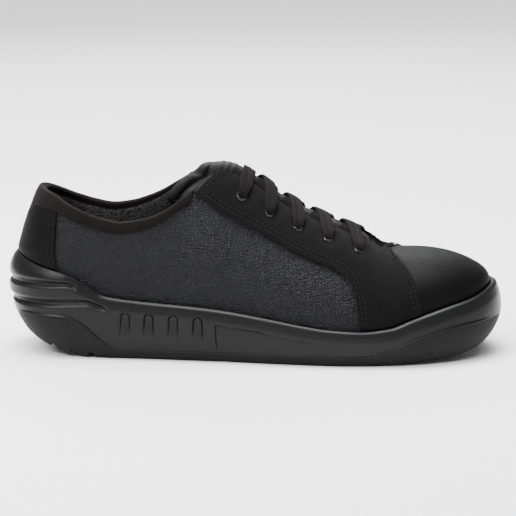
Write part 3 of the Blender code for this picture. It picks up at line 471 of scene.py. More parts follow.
def ridge_height(along):
    """Height of the upper's ridge; past TOE_NOSE it falls like the end of an ellipse."""
    ridge = INSTEP_HEIGHT * follow(RIDGE, "ridge", along)
    ease = (TOE_BOX_HEIGHT - INSTEP_HEIGHT * RIDGE["ridge"][-1]) * fade(along, 0.735, 0.80)
    ridge = np.where(along > RIDGE["along"][-2], TOE_BOX_HEIGHT, ridge + ease)
    nose = part_way(along, TOE_NOSE, 1.0)
    low = widest_height(along)
    return low + (ridge - low) * (1 - nose**ROUND_POWER) ** (1 / ROUND_POWER)


def skin_point(along, side, up):
    """The upper's outer surface: up is 0 at the lower edge and 1 at the ridge."""
    power = 2 / follow(RIDGE, "fullness", along)
    low = sole_height("floor", along) + FIT * 2
    wide = widest_height(along)
    angle = np.clip(up - UPRIGHT_SHARE, 0.0, None) / (1 - UPRIGHT_SHARE) * np.pi / 2
    upright = up < UPRIGHT_SHARE
    rise = low + (wide - low) * up / UPRIGHT_SHARE
    height = np.where(upright, rise, wide + (ridge_height(along) - wide) * np.sin(angle) ** power)
    across = np.where(upright, 1.0, np.clip(np.cos(angle), 0.0, None) ** power)
    point = plan_point(along, side, UPPER_INSET, upper_back(height), UPPER_FRONT, height)
    ridge = follow(PLAN, "ridge", along) * BALL_WIDTH / 2 - OUTLINE_MIDDLE
    point[..., 1] = ridge + (point[..., 1] - ridge) * across
    return point


def unit(vectors):
    return vectors / np.maximum(np.linalg.norm(vectors, axis=-1, keepdims=True), 1e-12)


SKIN_STEP = 0.004


def skin(turn, around, lift=0.0):
    """The skin over the whole shoe: around is -1 and 1 at the outer and inner edge, 0 at the ridge."""
    turn, around, lift = np.broadcast_arrays(turn, around, lift)

    def at(t, a):
        past = (t < 0) | (t > 1)
        a = np.where(past, -a, a)
        t = np.where(t < 0, -t, np.where(t > 1, 2 - t, t))
        return skin_point(station(t), np.where(a < 0, -1.0, 1.0), 1 - np.minimum(np.abs(a), 1.0))

    along = at(turn + SKIN_STEP, around) - at(turn - SKIN_STEP, around)
    across = at(turn, around + SKIN_STEP) - at(turn, around - SKIN_STEP)
    return at(turn, around) + lift[..., None] * unit(np.cross(along, across))


def up_at_height(along, height):
    """The share up the section at which the skin has this height."""
    wide = widest_height(along)
    reach = np.clip((height - wide) / np.maximum(ridge_height(along) - wide, 1e-9), 0.0, 1.0)
    angle = np.arcsin(reach ** (follow(RIDGE, "fullness", along) / 2))
    return UPRIGHT_SHARE + (1 - UPRIGHT_SHARE) * angle / (np.pi / 2)


def up_at_gap(along, side, gap):
    """The share up the section at which the skin is this far from the ridge line."""
    wide = skin_point(along, side, UPRIGHT_SHARE)
    ridge = skin_point(along, side, 1.0)
    reach = np.clip(gap / np.abs(wide[..., 1] - ridge[..., 1]), 0.0, 1.0)
    angle = np.arccos(reach ** (follow(RIDGE, "fullness", along) / 2))
    return UPRIGHT_SHARE + (1 - UPRIGHT_SHARE) * angle / (np.pi / 2)


# %% [markdown]
# ### Free edges
# The upper ends at the top line and round the throat. The first is a height and the second a gap to
# the ridge. Both become shares up the section, and the lower one holds, with a soft corner between.

# %% The free edges: top line, throat and binding
def throat_gap(along):
    """Half the throat's width; it closes as a round end."""
    round_length = THROAT_HALF_GAP / LENGTH
    reach = np.clip((along - THROAT_END + round_length) / round_length, 0.0, 1.0)
    return THROAT_HALF_GAP * np.sqrt(1 - reach * reach)


def edge_up(along, side):
    """The share up the section of the upper's free edge."""
    along, side = np.broadcast_arrays(np.asarray(along, float), np.asarray(side, float))
    line = np.where(side < 0, follow(TOPLINE, "lateral", along), follow(TOPLINE, "medial", along))
    collar = up_at_height(along, COLLAR_HEIGHT * line)
    throat = up_at_gap(along, side, throat_gap(along))
    softness = 0.035
    ease = np.maximum(softness - np.abs(collar - throat), 0.0) ** 2 / (4 * softness)
    both = np.minimum(collar, throat) - ease
    return np.where(along >= THROAT_END, 1.0, np.where(along < 0.30, collar, both))


def above_rim(along, gap=2 * FIT):
    return up_at_height(along, sole_height("rim", along) + gap)


def binding_foot(along, side):
    """The share up the section at the lower edge of the collar's binding."""
    top = skin_point(along, side, edge_up(along, side))[..., 2]
    return up_at_height(along, top - COLLAR_HEIGHT * follow(BINDING, "width", along))


print("top line at the heel", skin_point(0.0, 1.0, edge_up(0.0, 1.0)).round(4).tolist())

# %% [markdown]
# ## Camera, floor and light
# The camera looks nearly square at the outer side from a bit above, through a long lens, so the shoe
# shows as in a catalogue. A pale floor and large soft lamps keep black leather readable: black shows
# its form only by what it reflects, so each lamp is a broad panel that draws a soft streak.

# %% Camera, floor and lamps
VIEW_AZIMUTH = math.radians(3)
VIEW_ELEVATION = math.radians(12)
VIEW_TARGET = np.array([0.0, 0.0, 0.045])
VIEW_DISTANCE = 1.2
IMAGE_SIZE = 516
IMAGE_CENTRE = (255.07, 267.23)
LENS = 149.94
SENSOR_WIDTH = 36


def face_towards(thing, target):
    """Turns a camera or lamp so that it looks at a point."""
    away = thing.location.copy()
    away = away - type(away)(target)
    thing.rotation_euler = away.to_track_quat("Z", "Y").to_euler()


def add_camera():
    back = np.array(
        [
            math.sin(VIEW_AZIMUTH) * math.cos(VIEW_ELEVATION),
            -math.cos(VIEW_AZIMUTH) * math.cos(VIEW_ELEVATION),
            math.sin(VIEW_ELEVATION),
        ]
    )
    bpy.ops.object.camera_add(location=VIEW_TARGET + back * VIEW_DISTANCE)
    camera = bpy.context.object
    face_towards(camera, VIEW_TARGET)
    camera.data.lens = LENS
    camera.data.sensor_width = SENSOR_WIDTH
    camera.data.shift_x = (IMAGE_SIZE / 2 - IMAGE_CENTRE[0]) / IMAGE_SIZE
    camera.data.shift_y = (IMAGE_CENTRE[1] - IMAGE_SIZE / 2) / IMAGE_SIZE
    bpy.context.scene.camera = camera


def add_lamp(name, place, size, power, target=(0, 0, 0.04)):
    bpy.ops.object.light_add(type="AREA", location=place)
    lamp = bpy.context.object
    lamp.name = name
    lamp.data.shape = "RECTANGLE"
    lamp.data.size, lamp.data.size_y = size
    lamp.data.energy = power
    face_towards(lamp, target)


bpy.ops.object.select_all(action="DESELECT")
add_camera()
add_lamp("lamp_above", (-0.10, 0.10, 1.30), (1.3, 0.7), 55)
add_lamp("lamp_front", (-0.70, -1.20, 1.15), (0.9, 0.5), 26)
add_lamp("lamp_back", (-0.30, 1.30, 0.90), (1.4, 0.5), 18)
bpy.ops.object.light_add(type="SUN", location=(-0.4, -0.5, 2.0))
sky = bpy.context.object
sky.name = "wide_sky_lamp"
sky.data.energy = 3.2
sky.data.angle = math.radians(80)
face_towards(sky, (0, 0, 0))
world = bpy.data.worlds.new("studio")
bpy.context.scene.world = world
world.use_nodes = True
world.node_tree.nodes["Background"].inputs["Color"].default_value = (1, 1, 1, 1)
world.node_tree.nodes["Background"].inputs["Strength"].default_value = 0.40
bpy.ops.mesh.primitive_plane_add(size=8, location=(0, 0, -0.0002))
floor = bpy.context.object
floor.name = "floor"
print("camera at", np.round(np.array(bpy.context.scene.camera.location), 3).tolist())

# %% [markdown]
# ## Finishes
# Every finish is a Principled shader with a bump and a little change of colour and roughness. The
# patterns read object coordinates, in metres, so a scale of 900 gives grains of about a millimetre.
# Woven parts read their own UV map instead, because a weave follows the tape it is woven in.

# %% A small kit for shader nodes
def node(tree, kind, inputs=(), **settings):
    """Adds a shader node, sets its options and fills or links its inputs."""
    made = tree.nodes.new("ShaderNode" + kind)
    for name, value in settings.items():
        setattr(made, name, value)
    for name, value in dict(inputs).items():
        socket = made.inputs[name]
        if isinstance(value, bpy.types.NodeSocket):
            tree.links.new(value, socket)
        else:
            socket.default_value = value
    return made


def where_on(tree, source="Object"):
    return node(tree, "TexCoord").outputs[source]


def new_finish(name, colour, roughness, **sockets):
    """A Principled material, its node tree and its object coordinates.

    sockets sets more of the shader's inputs, as in coat_weight=0.2.
    """
    made = bpy.data.materials.new(name)
    made.use_nodes = True
    shader = made.node_tree.nodes["Principled BSDF"]
    shader.inputs["Base Color"].default_value = (*colour, 1.0)
    shader.inputs["Roughness"].default_value = roughness
    for socket, value in sockets.items():
        label = socket.replace("_", " ").title().replace("Ior", "IOR")
        shader.inputs[label].default_value = value
    return made, made.node_tree, where_on(made.node_tree)


def noise(tree, where, scale, detail=3.0, roughness=0.5):
    inputs = {"Vector": where, "Scale": scale, "Detail": detail, "Roughness": roughness}
    return node(tree, "TexNoise", inputs).outputs["Fac"]


def cells(tree, where, scale, feature="F1"):
    """Distance to the nearest of many scattered points, or to the creases between them."""
    made = node(tree, "TexVoronoi", {"Vector": where, "Scale": scale}, feature=feature)
    return made.outputs["Distance"]


def ramp(tree, value, low, high, start=0.0, end=1.0):
    """Maps low..high to start..end, and stops there."""
    inputs = {"Value": value, "From Min": low, "From Max": high, "To Min": start, "To Max": end}
    return node(tree, "MapRange", inputs).outputs["Result"]


def calculate(tree, operation, first, second):
    """Adds or multiplies two values, each a socket or a plain number."""
    made = node(tree, "Math", operation=operation)
    for socket, value in zip(made.inputs, (first, second)):
        if isinstance(value, bpy.types.NodeSocket):
            tree.links.new(value, socket)
        else:
            socket.default_value = value
    return made.outputs["Value"]


def bump(tree, height, depth, under=None):
    """A bump whose height of 1 stands depth metres high."""
    inputs = {"Height": height, "Distance": depth, "Strength": 1.0}
    if under is not None:
        inputs["Normal"] = under
    return node(tree, "Bump", inputs).outputs["Normal"]


def shade(finish, normal=None, colours=None, mix=None, roughness=None):
    """Links a finish's bump, its two mixed colours and its roughness."""
    tree = finish.node_tree
    shader = tree.nodes["Principled BSDF"]
    if normal is not None:
        tree.links.new(normal, shader.inputs["Normal"])
    if colours is not None:
        blend = node(tree, "Mix", data_type="RGBA")
        tree.links.new(mix, blend.inputs[0])
        for socket, colour in zip(blend.inputs[6:8], colours):
            socket.default_value = (*colour, 1)
        tree.links.new(blend.outputs[2], shader.inputs["Base Color"])
    if roughness is not None:
        tree.links.new(roughness, shader.inputs["Roughness"])
    return finish


# %% [markdown]
# ### Leathers
# Three leathers meet here. The toe and the heel piece are smooth and lightly waxed, the side is
# embossed with a fine pebble and catches a bluish sheen, and the eyelet piece is suede: short nap that
# scatters the light and hides every highlight.

# %% Smooth, pebbled and suede leather
def smooth_leather():
    finish, tree, where = new_finish(
        "smooth_leather", (0.002, 0.002, 0.002), 0.54, specular_ior_level=0.06
    )
    pores = ramp(tree, cells(tree, where, 1500), 0.0, 0.45)
    fine = noise(tree, where, 700, 5)
    normal = bump(tree, fine, 0.00012, bump(tree, pores, 0.00005))
    patches = ramp(tree, noise(tree, where, 45, 3), 0.35, 0.7)
    gloss = ramp(tree, noise(tree, where, 260, 4), 0.3, 0.7, 0.50, 0.60)
    return shade(finish, normal, ((0.0018, 0.0018, 0.0019), (0.0026, 0.0026, 0.0027)), patches, gloss)


def pebbled_leather():
    finish, tree, where = new_finish(
        "pebbled_leather", (0.003, 0.003, 0.004), 0.34, specular_ior_level=0.16
    )
    pebble = ramp(tree, cells(tree, where, 760, "DISTANCE_TO_EDGE"), 0.0, 0.35)
    fine = noise(tree, where, 1500, 5, 0.7)
    tall = node(tree, "Mapping", {"Vector": where, "Scale": (1, 1, 0.16)}).outputs[0]
    upright = noise(tree, tall, 420, 3)
    normal = bump(tree, fine, 0.00020, bump(tree, upright, 0.00030, bump(tree, pebble, 0.00030)))
    patches = ramp(tree, noise(tree, where, 60, 3), 0.3, 0.7)
    gloss = ramp(tree, fine, 0.35, 0.65, 0.36, 0.46)
    return shade(finish, normal, ((0.0013, 0.0013, 0.0026), (0.0018, 0.0017, 0.0034)), patches, gloss)


def suede():
    sheen = {"sheen_weight": 0.02, "sheen_roughness": 0.5}
    finish, tree, where = new_finish(
        "suede", (0.004, 0.004, 0.004), 0.95, specular_ior_level=0.10, **sheen
    )
    nap = noise(tree, where, 2400, 6, 0.7)
    brushed = noise(tree, where, 160, 4)
    normal = bump(tree, nap, 0.00030, bump(tree, brushed, 0.00010))
    strokes = calculate(tree, "ADD", calculate(tree, "MULTIPLY", brushed, 0.35), nap)
    patches = ramp(tree, strokes, 0.50, 0.85)
    return shade(finish, normal, ((0.0009, 0.0009, 0.0009), (0.0026, 0.0025, 0.0025)), patches)


FINISHES = {"smooth_leather": smooth_leather(), "grained_leather": pebbled_leather()}
FINISHES["suede"] = suede()
print("leathers:", ", ".join(FINISHES))

# %% [markdown]
# ### Rubber
# The sole is foamed rubber from a polished mould: satin, with a faint speckle. The tread is the same
# black from a blasted mould, so it is duller.

# %% Rubber
def moulded_sole():
    finish, tree, where = new_finish(
        "moulded_sole", (0.005, 0.005, 0.005), 0.32, specular_ior_level=0.14
    )
    speckle = noise(tree, where, 1500, 4, 0.6)
    normal = bump(tree, speckle, 0.00007, bump(tree, noise(tree, where, 90, 2), 0.00015))
    patches = ramp(tree, noise(tree, where, 30, 3), 0.3, 0.7)
    gloss = ramp(tree, speckle, 0.3, 0.7, 0.27, 0.36)
    return shade(finish, normal, ((0.0044, 0.0044, 0.0046), (0.0056, 0.0056, 0.0058)), patches, gloss)


def tread_rubber():
    finish, tree, where = new_finish("tread", (0.006, 0.006, 0.006), 0.60, specular_ior_level=0.11)
    speckle = noise(tree, where, 1300, 5, 0.7)
    normal = bump(tree, speckle, 0.00022)
    patches = ramp(tree, speckle, 0.35, 0.65)
    return shade(finish, normal, ((0.0046, 0.0046, 0.0048), (0.0076, 0.0076, 0.0078)), patches)


# %% [markdown]
# ### Cloth and metal
# The binding, the laces and the thread are woven: two waves cross, and where both are high a thread
# stands up. Their colour carries painted shade between the threads and a painted highlight on the raised
# threads. The lining is a knitted mesh whose holes are painted dark as shade, and the tongue's cover is a
# smooth cloth with a faint crinkle, painted lighter on its crests and darker in its hollows. The eyelets
# are steel under black paint.

# %% Woven tape, lace, mesh lining and painted metal
def stripes(tree, where, density, axis):
    """Soft ridges across one axis of the UV map, density / pi of them to the metre."""
    inputs = {"Vector": where, "Scale": density / 10, "Distortion": 0.0}
    made = node(tree, "TexWave", inputs, wave_type="BANDS", bands_direction=axis, wave_profile="SIN")
    return made.outputs["Fac"]


def woven(name, colours, across, along, depth, crisp=(0.2, 1.2)):
    """Two crossed waves on the piece's UV map, in metres, make a plain weave.

    crisp is the span of the weave's height over which the painted shade between threads turns into the
    painted highlight on the raised threads.
    """
    sockets = {"sheen_weight": 0.01, "specular_ior_level": 0.1}
    finish, tree, where = new_finish(name, colours[0], 0.85, **sockets)
    on_map = where_on(tree, "UV")
    warp = stripes(tree, on_map, across, "Y")
    weave = calculate(tree, "MULTIPLY", warp, stripes(tree, on_map, along, "X"))
    fuzz = noise(tree, where, 2600, 4, 0.7)
    normal = bump(tree, fuzz, 0.00012, bump(tree, weave, depth))
    # painted light: the colour is darker between the threads as painted shade and lighter on the raised
    # threads as a painted highlight; the fuzz adds random tone
    weave_shade_and_fuzz = calculate(tree, "ADD", weave, calculate(tree, "MULTIPLY", fuzz, 0.6))
    return shade(finish, normal, colours, ramp(tree, weave_shade_and_fuzz, *crisp))


def mesh_lining():
    finish, tree, where = new_finish(
        "lining", (0.004, 0.004, 0.004), 0.9, sheen_weight=0.01, specular_ior_level=0.1
    )
    holes = ramp(tree, cells(tree, where, 700), 0.20, 0.48)
    fuzz = noise(tree, where, 2400, 3)
    normal = bump(tree, fuzz, 0.0001, bump(tree, holes, 0.0005))
    # painted shade: the colour is dark in the mesh's holes, where shade falls in the recesses, and light
    # on the threads
    return shade(finish, normal, ((0.0010, 0.0010, 0.0010), (0.0150, 0.0142, 0.0142)), holes)


def tongue_cover():
    finish, tree, where = new_finish(
        "tongue_cover", (0.004, 0.004, 0.004), 0.58, specular_ior_level=0.09
    )
    fine = noise(tree, where, 900, 4)
    crinkle = noise(tree, where, 130, 3)
    normal = bump(tree, fine, 0.00012, bump(tree, crinkle, 0.0004))
    gloss = ramp(tree, crinkle, 0.3, 0.7, 0.48, 0.62)
    # painted light: the colour follows the crinkle, lighter on its crests as a painted highlight and
    # darker in its hollows as painted shade
    return shade(finish, normal, ((0.0030, 0.0030, 0.0032), (0.0050, 0.0050, 0.0052)), crinkle, gloss)


def eyelet_paint():
    finish, tree, where = new_finish(
        "eyelet_metal", (0.003, 0.003, 0.003), 0.24, specular_ior_level=0.35
    )
    wear = noise(tree, where, 500, 3)
    gloss = ramp(tree, wear, 0.35, 0.7, 0.18, 0.32)
    normal = bump(tree, wear, 0.00003)
    return shade(finish, normal, ((0.002, 0.002, 0.002), (0.003, 0.003, 0.003)), wear, gloss)


FINISHES["moulded_sole"] = moulded_sole()
FINISHES["tread"] = tread_rubber()
# each pair is the painted shade between threads, then the painted highlight on the raised threads
TAPE_SHADED_AND_LIT = ((0.0020, 0.0013, 0.0013), (0.0042, 0.0028, 0.0027))
LACE_SHADED_AND_LIT = ((0.0022, 0.0018, 0.0020), (0.0150, 0.0122, 0.0128))
THREAD_SHADED_AND_LIT = ((0.006, 0.006, 0.006), (0.011, 0.010, 0.010))
FINISHES["binding_tape"] = woven("binding_tape", TAPE_SHADED_AND_LIT, 2600, 1700, 0.00015)
FINISHES["lace_cord"] = woven("lace_cord", LACE_SHADED_AND_LIT, 4800, 3000, 0.0005, crisp=(0.35, 0.95))
FINISHES["sewing_thread"] = woven("sewing_thread", THREAD_SHADED_AND_LIT, 900, 900, 0.00002)
FINISHES["lining"] = mesh_lining()
FINISHES["tongue_cover"] = tongue_cover()
FINISHES["eyelet_metal"] = eyelet_paint()


def floor_finish():
    finish, tree, where = new_finish("floor_paper", (0.86, 0.86, 0.86), 0.9)
    return shade(finish, bump(tree, noise(tree, where, 60), 0.0001))


floor.data.materials.append(floor_finish())
print("finishes:", len(FINISHES))

# %% [markdown]
# ## Laying a sheet on the last
# A shoemaker cuts flat panels and pulls them over the last. The same works here: a flat grid is added
# as a primitive, and each of its points is laid where a rule puts its two shares, u and v. The grid's
# UV map then follows the panel, and Solidify and Bevel give it a wall and soft edges.

# %% Helpers for sheets
def only(piece):
    """Makes a piece the only selected and the active one."""
    bpy.ops.object.select_all(action="DESELECT")
    piece.select_set(True)
    bpy.context.view_layer.objects.active = piece
    return piece


def points_of(piece):
    flat = np.empty(len(piece.data.vertices) * 3)
    piece.data.vertices.foreach_get("co", flat)
    return flat.reshape(-1, 3)


def move_points(piece, points):
    piece.data.vertices.foreach_set("co", np.asarray(points, float).ravel())
    piece.data.update()


def sheet(name, columns, rows, place, uv_size=(1.0, 1.0)):
    """A grid whose point at the shares u and v lies at place(u, v)."""
    bpy.ops.object.select_all(action="DESELECT")
    bpy.ops.mesh.primitive_grid_add(x_subdivisions=columns, y_subdivisions=rows, size=1.0)
    piece = bpy.context.object
    piece.name = name
    piece.data.name = name
    flat = points_of(piece)
    move_points(piece, place(flat[:, 0] + 0.5, flat[:, 1] + 0.5))
    layer = piece.data.uv_layers.active.data
    uv = np.empty(len(layer) * 2)
    layer.foreach_get("uv", uv)
    layer.foreach_set("uv", (uv.reshape(-1, 2) * uv_size).ravel())
    return piece


def in_edit_mode(piece, *steps):
    """Runs steps of edit mode on a piece, with all of its points selected."""
    only(piece)
    bpy.ops.object.mode_set(mode="EDIT")
    bpy.ops.mesh.select_all(action="SELECT")
    for step in steps:
        step()
    bpy.ops.object.mode_set(mode="OBJECT")
    return piece


def weld(piece, gap=0.00001):
    """Merges doubles, such as a seam and the points of a pole."""
    return in_edit_mode(piece, lambda: bpy.ops.mesh.remove_doubles(threshold=gap))


def turn_outwards(piece, centre=(0.0, 0.0, 0.03), closed=False):
    """Makes all faces agree; those of an open sheet then look away from the shoe's middle."""
    in_edit_mode(piece, lambda: bpy.ops.mesh.normals_make_consistent(inside=False))
    if closed:
        return piece
    mesh = piece.data
    normals = np.empty(len(mesh.polygons) * 3)
    middles = np.empty(len(mesh.polygons) * 3)
    mesh.polygons.foreach_get("normal", normals)
    mesh.polygons.foreach_get("center", middles)
    away = middles.reshape(-1, 3) - np.array(centre)
    away[:, 0] *= 0.35
    if (normals.reshape(-1, 3) * away).sum() < 0:
        mesh.flip_normals()
    return piece


def apply_modifier(piece, kind, **settings):
    only(piece)
    step = piece.modifiers.new(kind.title(), kind)
    for name, value in settings.items():
        setattr(step, name, value)
    bpy.ops.object.modifier_apply(modifier=step.name)
    return piece


def thicken(piece, thickness, edge=0.0, segments=2):
    """Gives an open sheet a wall, inwards, and rounds the edges of the cut."""
    apply_modifier(piece, "SOLIDIFY", thickness=thickness, offset=-1.0, use_even_offset=False)
    if edge > 0:
        settings = dict(width=edge, segments=segments, limit_method="ANGLE", angle_limit=math.radians(50))
        apply_modifier(piece, "BEVEL", use_clamp_overlap=True, **settings)
    return piece


def finish_piece(piece, finish, *nodes, sharp=35, slot=None):
    """Shades a piece smooth, gives it its material, hangs it under the root and hides the imported parts
    it stands for; slot is not used.
    """
    only(piece)
    bpy.ops.object.shade_smooth_by_angle(angle=math.radians(sharp))
    piece.data.materials.clear()
    piece.data.materials.append(FINISHES[finish])
    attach(piece, "root")
    if nodes:
        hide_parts(*nodes)
    faces = sum(len(face.vertices) - 2 for face in piece.data.polygons)
    print(f"{piece.name}: {faces} triangles, {time.time() - started:.0f} s")
    return piece


FLUTES_FROM, FLUTES_TO = turn_of(0.236), turn_of(0.434)


def side_of(u):
    """-1 on the outer side and 1 on the inner side, for a share u that runs over both."""
    return np.where(u <= 0.5, -1.0, 1.0)


def round_the_shoe(u, at_flutes=0.0):
    """A share round the whole shoe, from the heel along the outer side to the toe and back.

    at_flutes is the share of the columns that is kept for the flutes.
    """
    turn = 1 - np.abs(1 - 2 * u)
    if at_flutes:
        before = (1 - at_flutes) * FLUTES_FROM / (1 - FLUTES_TO + FLUTES_FROM)
        turn = np.interp(turn, [0, before, before + at_flutes, 1], [0, FLUTES_FROM, FLUTES_TO, 1])
    return turn, side_of(u)


# %% [markdown]
# ## The sole's side
# The midsole is one moulding: a cup whose floor carries the upper and whose side carries the relief.
# A fine grid runs round the shoe and up from the tread's line to the rim. Close columns at the flutes
# and close rows at the rim keep both crisp without wasting faces in between. The rim ends in a small
# bead: it swells a little, then a bevel looks up and draws the sole's one bright line.

# %% The cup
RIM_BELOW = (0.0, 0.0009, 0.0013, 0.0022, 0.0044)
RIM_INWARD = (0.0006, -0.0003, -0.0004, -0.0002, 0.0)
RIM_ROWS = 0.0046
LINE_BEAD = 0.0006
LEDGE_FALL = 0.0005
LEVELS = (0.05, 0.68, 0.86, 0.92)  # shares of the rows: tread's line, rim's foot, rim, end of the ledge


def cup_point(u, v):
    """v runs from the hidden step over the outsole, up the side, over the rim and down into the cup."""
    turn, side = round_the_shoe(u, 0.40)
    along = station(turn)
    line = sole_height("line", along) + 0.0001
    rim = sole_height("rim", along)
    to_foot = part_way(v, LEVELS[0], LEVELS[1])
    to_rim = part_way(v, LEVELS[1], LEVELS[2])
    height = line + (rim - RIM_ROWS - line) * to_foot + RIM_ROWS * to_rim
    crisp = fade(along, 0.150, 0.195)
    bead = np.interp(rim - height, RIM_BELOW, RIM_INWARD) * crisp
    at_ends = fade(along, 0.0, 0.03) * (1 - fade(along, 0.93, 0.99))
    bead = bead - LINE_BEAD * at_ends * hump(height - line - 0.0004, 0.0007)
    side_point = wall_point(along, side, height, bead)
    under = wall_point(along, side, line + v * 0, OUTSOLE_WALL * (1 - part_way(v, 0.0, LEVELS[0])))
    over = part_way(v, LEVELS[2], LEVELS[3])
    ledge_end = cavity_point(along, side, rim)
    top = wall_point(along, side, rim, RIM_INWARD[0] * crisp)
    ledge = top + (ledge_end - top) * over[:, None]
    ledge[:, 2] -= LEDGE_FALL * over
    down = part_way(v, LEVELS[3], 1.0)
    ledge_low = rim - LEDGE_FALL
    inner = cavity_point(along, side, ledge_low + (sole_height("floor", along) - ledge_low) * down)
    point = pick(v < LEVELS[0], under, side_point)
    point = pick(v > LEVELS[2], ledge, point)
    return pick(v > LEVELS[3], inner, point)


sole_side = sheet("sole_side", 960, 94, cup_point)
weld(sole_side)
turn_outwards(sole_side)
finish_piece(sole_side, "moulded_sole", "midsole", sharp=60)

# %% [markdown]
# ## The outsole and its tread
# A harder rubber wraps the foot of the cup and climbs round the heel and the toe. Its underside has
# straight bars at the heel and shallow V bars in front, which break the edge at the heel as notches.
# The same ring of columns is used as for the side, so that both meet along one line.

# %% The tread
HEEL_BARS = (0.087, 0.128, 0.166)
INNER_HEEL_BARS = (0.200, 0.260)
V_BARS = (0.500, 0.560, 0.620, 0.680, 0.740, 0.800, 0.860)
V_SLANT = math.tan(math.radians(10))
FINE_CUT_DEPTH = 0.0007
TREAD_LEVELS = (0.62, 0.88, 0.94)  # shares of the rows: foot of the side, its top, end of the top step


def bar(distance, half_width, softness=0.0007):
    """1 inside a groove, falling to 0 at its sloped walls."""
    return fade(half_width - np.abs(distance), -softness / 2, softness / 2)


def tread_cut(along, across):
    """Depth of the tread's grooves; across is 0 in the middle and 1 at the edge."""
    depth = np.zeros(np.broadcast(along, across).shape)
    for share in HEEL_BARS:
        depth = np.maximum(depth, TREAD_DEPTH * bar((along - share) * LENGTH, TREAD_WIDTH / 2))
    for share in INNER_HEEL_BARS:
        cut = bar((along - share) * LENGTH, TREAD_WIDTH / 2) * (1 - fade(across, 0.70, 0.74))
        depth = np.maximum(depth, TREAD_DEPTH * cut)
    for share in V_BARS:
        reach = follow(PLAN, "half", share) * BALL_WIDTH / 2 * end_round(share)
        lean = V_SLANT * across * reach
        cut = bar((along - share) * LENGTH + lean, TREAD_WIDTH / 2) * (1 - fade(across, 0.76, 0.80))
        depth = np.maximum(depth, TREAD_DEPTH * cut)
        sipe = bar((along - share) * LENGTH + lean - 0.008, 0.0005) * (1 - fade(across, 0.6, 0.64))
        depth = np.maximum(depth, FINE_CUT_DEPTH * sipe)
    return depth


def tread_point(u, v):
    """v runs from the middle of the underside to its edge, up the side and over its top step."""
    turn, side = round_the_shoe(u)
    along = station(turn)
    flat = tread_height(along)
    line = sole_height("line", along)
    foot_row, top_row, step_row = TREAD_LEVELS
    across = part_way(v, 0.0, foot_row)
    edge = wall_point(along, side, flat, relief=False)
    middle = follow(PLAN, "centre", along) * BALL_WIDTH / 2 - OUTLINE_MIDDLE
    under = np.stack([edge[:, 0], middle + (edge[:, 1] - middle) * across, flat], -1)
    under[:, 2] = np.minimum(flat + tread_cut(along, across), line - 0.0004)
    foot = np.minimum(flat + tread_cut(along, 1.0), line - 0.0004)
    rise = part_way(v, foot_row, top_row)
    side_point = wall_point(along, side, foot + (line - foot) * rise)
    over = part_way(v, top_row, step_row)
    top = wall_point(along, side, line, OUTSOLE_WALL * over)
    web = np.minimum(flat + OUTSOLE_WEB, line - FIT / 2)
    down = part_way(v, step_row, 1.0)
    inside = wall_point(along, side, line + (web - line) * down, OUTSOLE_WALL)
    point = pick(v < foot_row, under, side_point)
    point = pick(v > top_row, top, point)
    return pick(v > step_row, inside, point)


sole_tread = sheet("sole_tread", 660, 90, tread_point)
weld(sole_tread)
turn_outwards(sole_tread)
finish_piece(sole_tread, "tread", "outsole", sharp=50)

# %% [markdown]
# ## Footbed
# The footbed is a thin cloth-covered foam that dips a little under the foot. Only its heel shows
# through the collar, but it is laid whole because the shoe can be turned.

# %% The footbed
FOOTBED_INSET = WALL + 3 * FIT
FOOTBED_DISH = 0.0012
FOOTBED_EDGE = 0.85  # share of the rows that lie on top


def footbed_point(u, v):
    turn, side = round_the_shoe(u)
    along = station(turn)
    low = sole_height("floor", along) + FIT
    high = low + INSOLE_THICKNESS - FOOTBED_DISH * (1 - fade(v, 0.0, FOOTBED_EDGE))
    top = cavity_point(along, side, high, part_way(v, 0.0, FOOTBED_EDGE), FOOTBED_INSET)
    down = part_way(v, FOOTBED_EDGE, 1.0)
    edge = cavity_point(along, side, high + (low - high) * down, 1.0, FOOTBED_INSET)
    return pick(v > FOOTBED_EDGE, edge, top)


footbed = sheet("footbed", 240, 24, footbed_point)
weld(footbed)
turn_outwards(footbed, (0, 0, 0))
finish_piece(footbed, "lining", "insole")

# %% [markdown]
# ## The upper
# Two leathers make the upper. The pebbled side runs round the heel from one eyelet piece to the other,
# and the smooth toe leather closes the front. Their seam hides under the suede. The side leather is
# soft, so it has shallow upright creases where it meets the suede, listed one by one in the shoe's sizes.

# %% Creases and panels of the upper
CREASES = table(
    "along height lean length width depth",
    (0.455, 0.064, 0.10, 0.016, 0.0022, 0.00030),
    (0.482, 0.060, 0.14, 0.018, 0.0020, 0.00026),
    (0.507, 0.054, 0.08, 0.017, 0.0024, 0.00032),
    (0.536, 0.050, 0.16, 0.017, 0.0020, 0.00028),
    (0.560, 0.046, 0.10, 0.016, 0.0024, 0.00034),
    (0.587, 0.043, 0.18, 0.015, 0.0022, 0.00030),
    (0.612, 0.039, 0.22, 0.013, 0.0024, 0.00034),
    (0.637, 0.036, 0.26, 0.012, 0.0022, 0.00030),
    (0.660, 0.033, 0.32, 0.011, 0.0022, 0.00028),
    (0.405, 0.068, 0.05, 0.014, 0.0026, 0.00024),
    (0.370, 0.064, 0.00, 0.014, 0.0030, 0.00022),
)
SEAM_ALONG = (0.796, 0.780)  # share of the length of the hidden seam, at the rim and at the ridge


def creases(point):
    """Depth of the soft creases at points of the skin."""
    along = (point[:, 0] + LENGTH / 2) / LENGTH
    depth = np.zeros(len(point))
    for middle, height, lean, length, width, deep in zip(*CREASES.values()):
        down = (point[:, 2] - height) / length
        aside = (along - middle) * LENGTH + lean * (point[:, 2] - height)
        aside = aside + 0.0006 * np.sin(point[:, 2] * 900 + middle * 50)
        trough = hump(aside, width) - 0.6 * hump(aside - 1.6 * width, width)
        depth += deep * trough * hump(down, 1.0)
    return depth


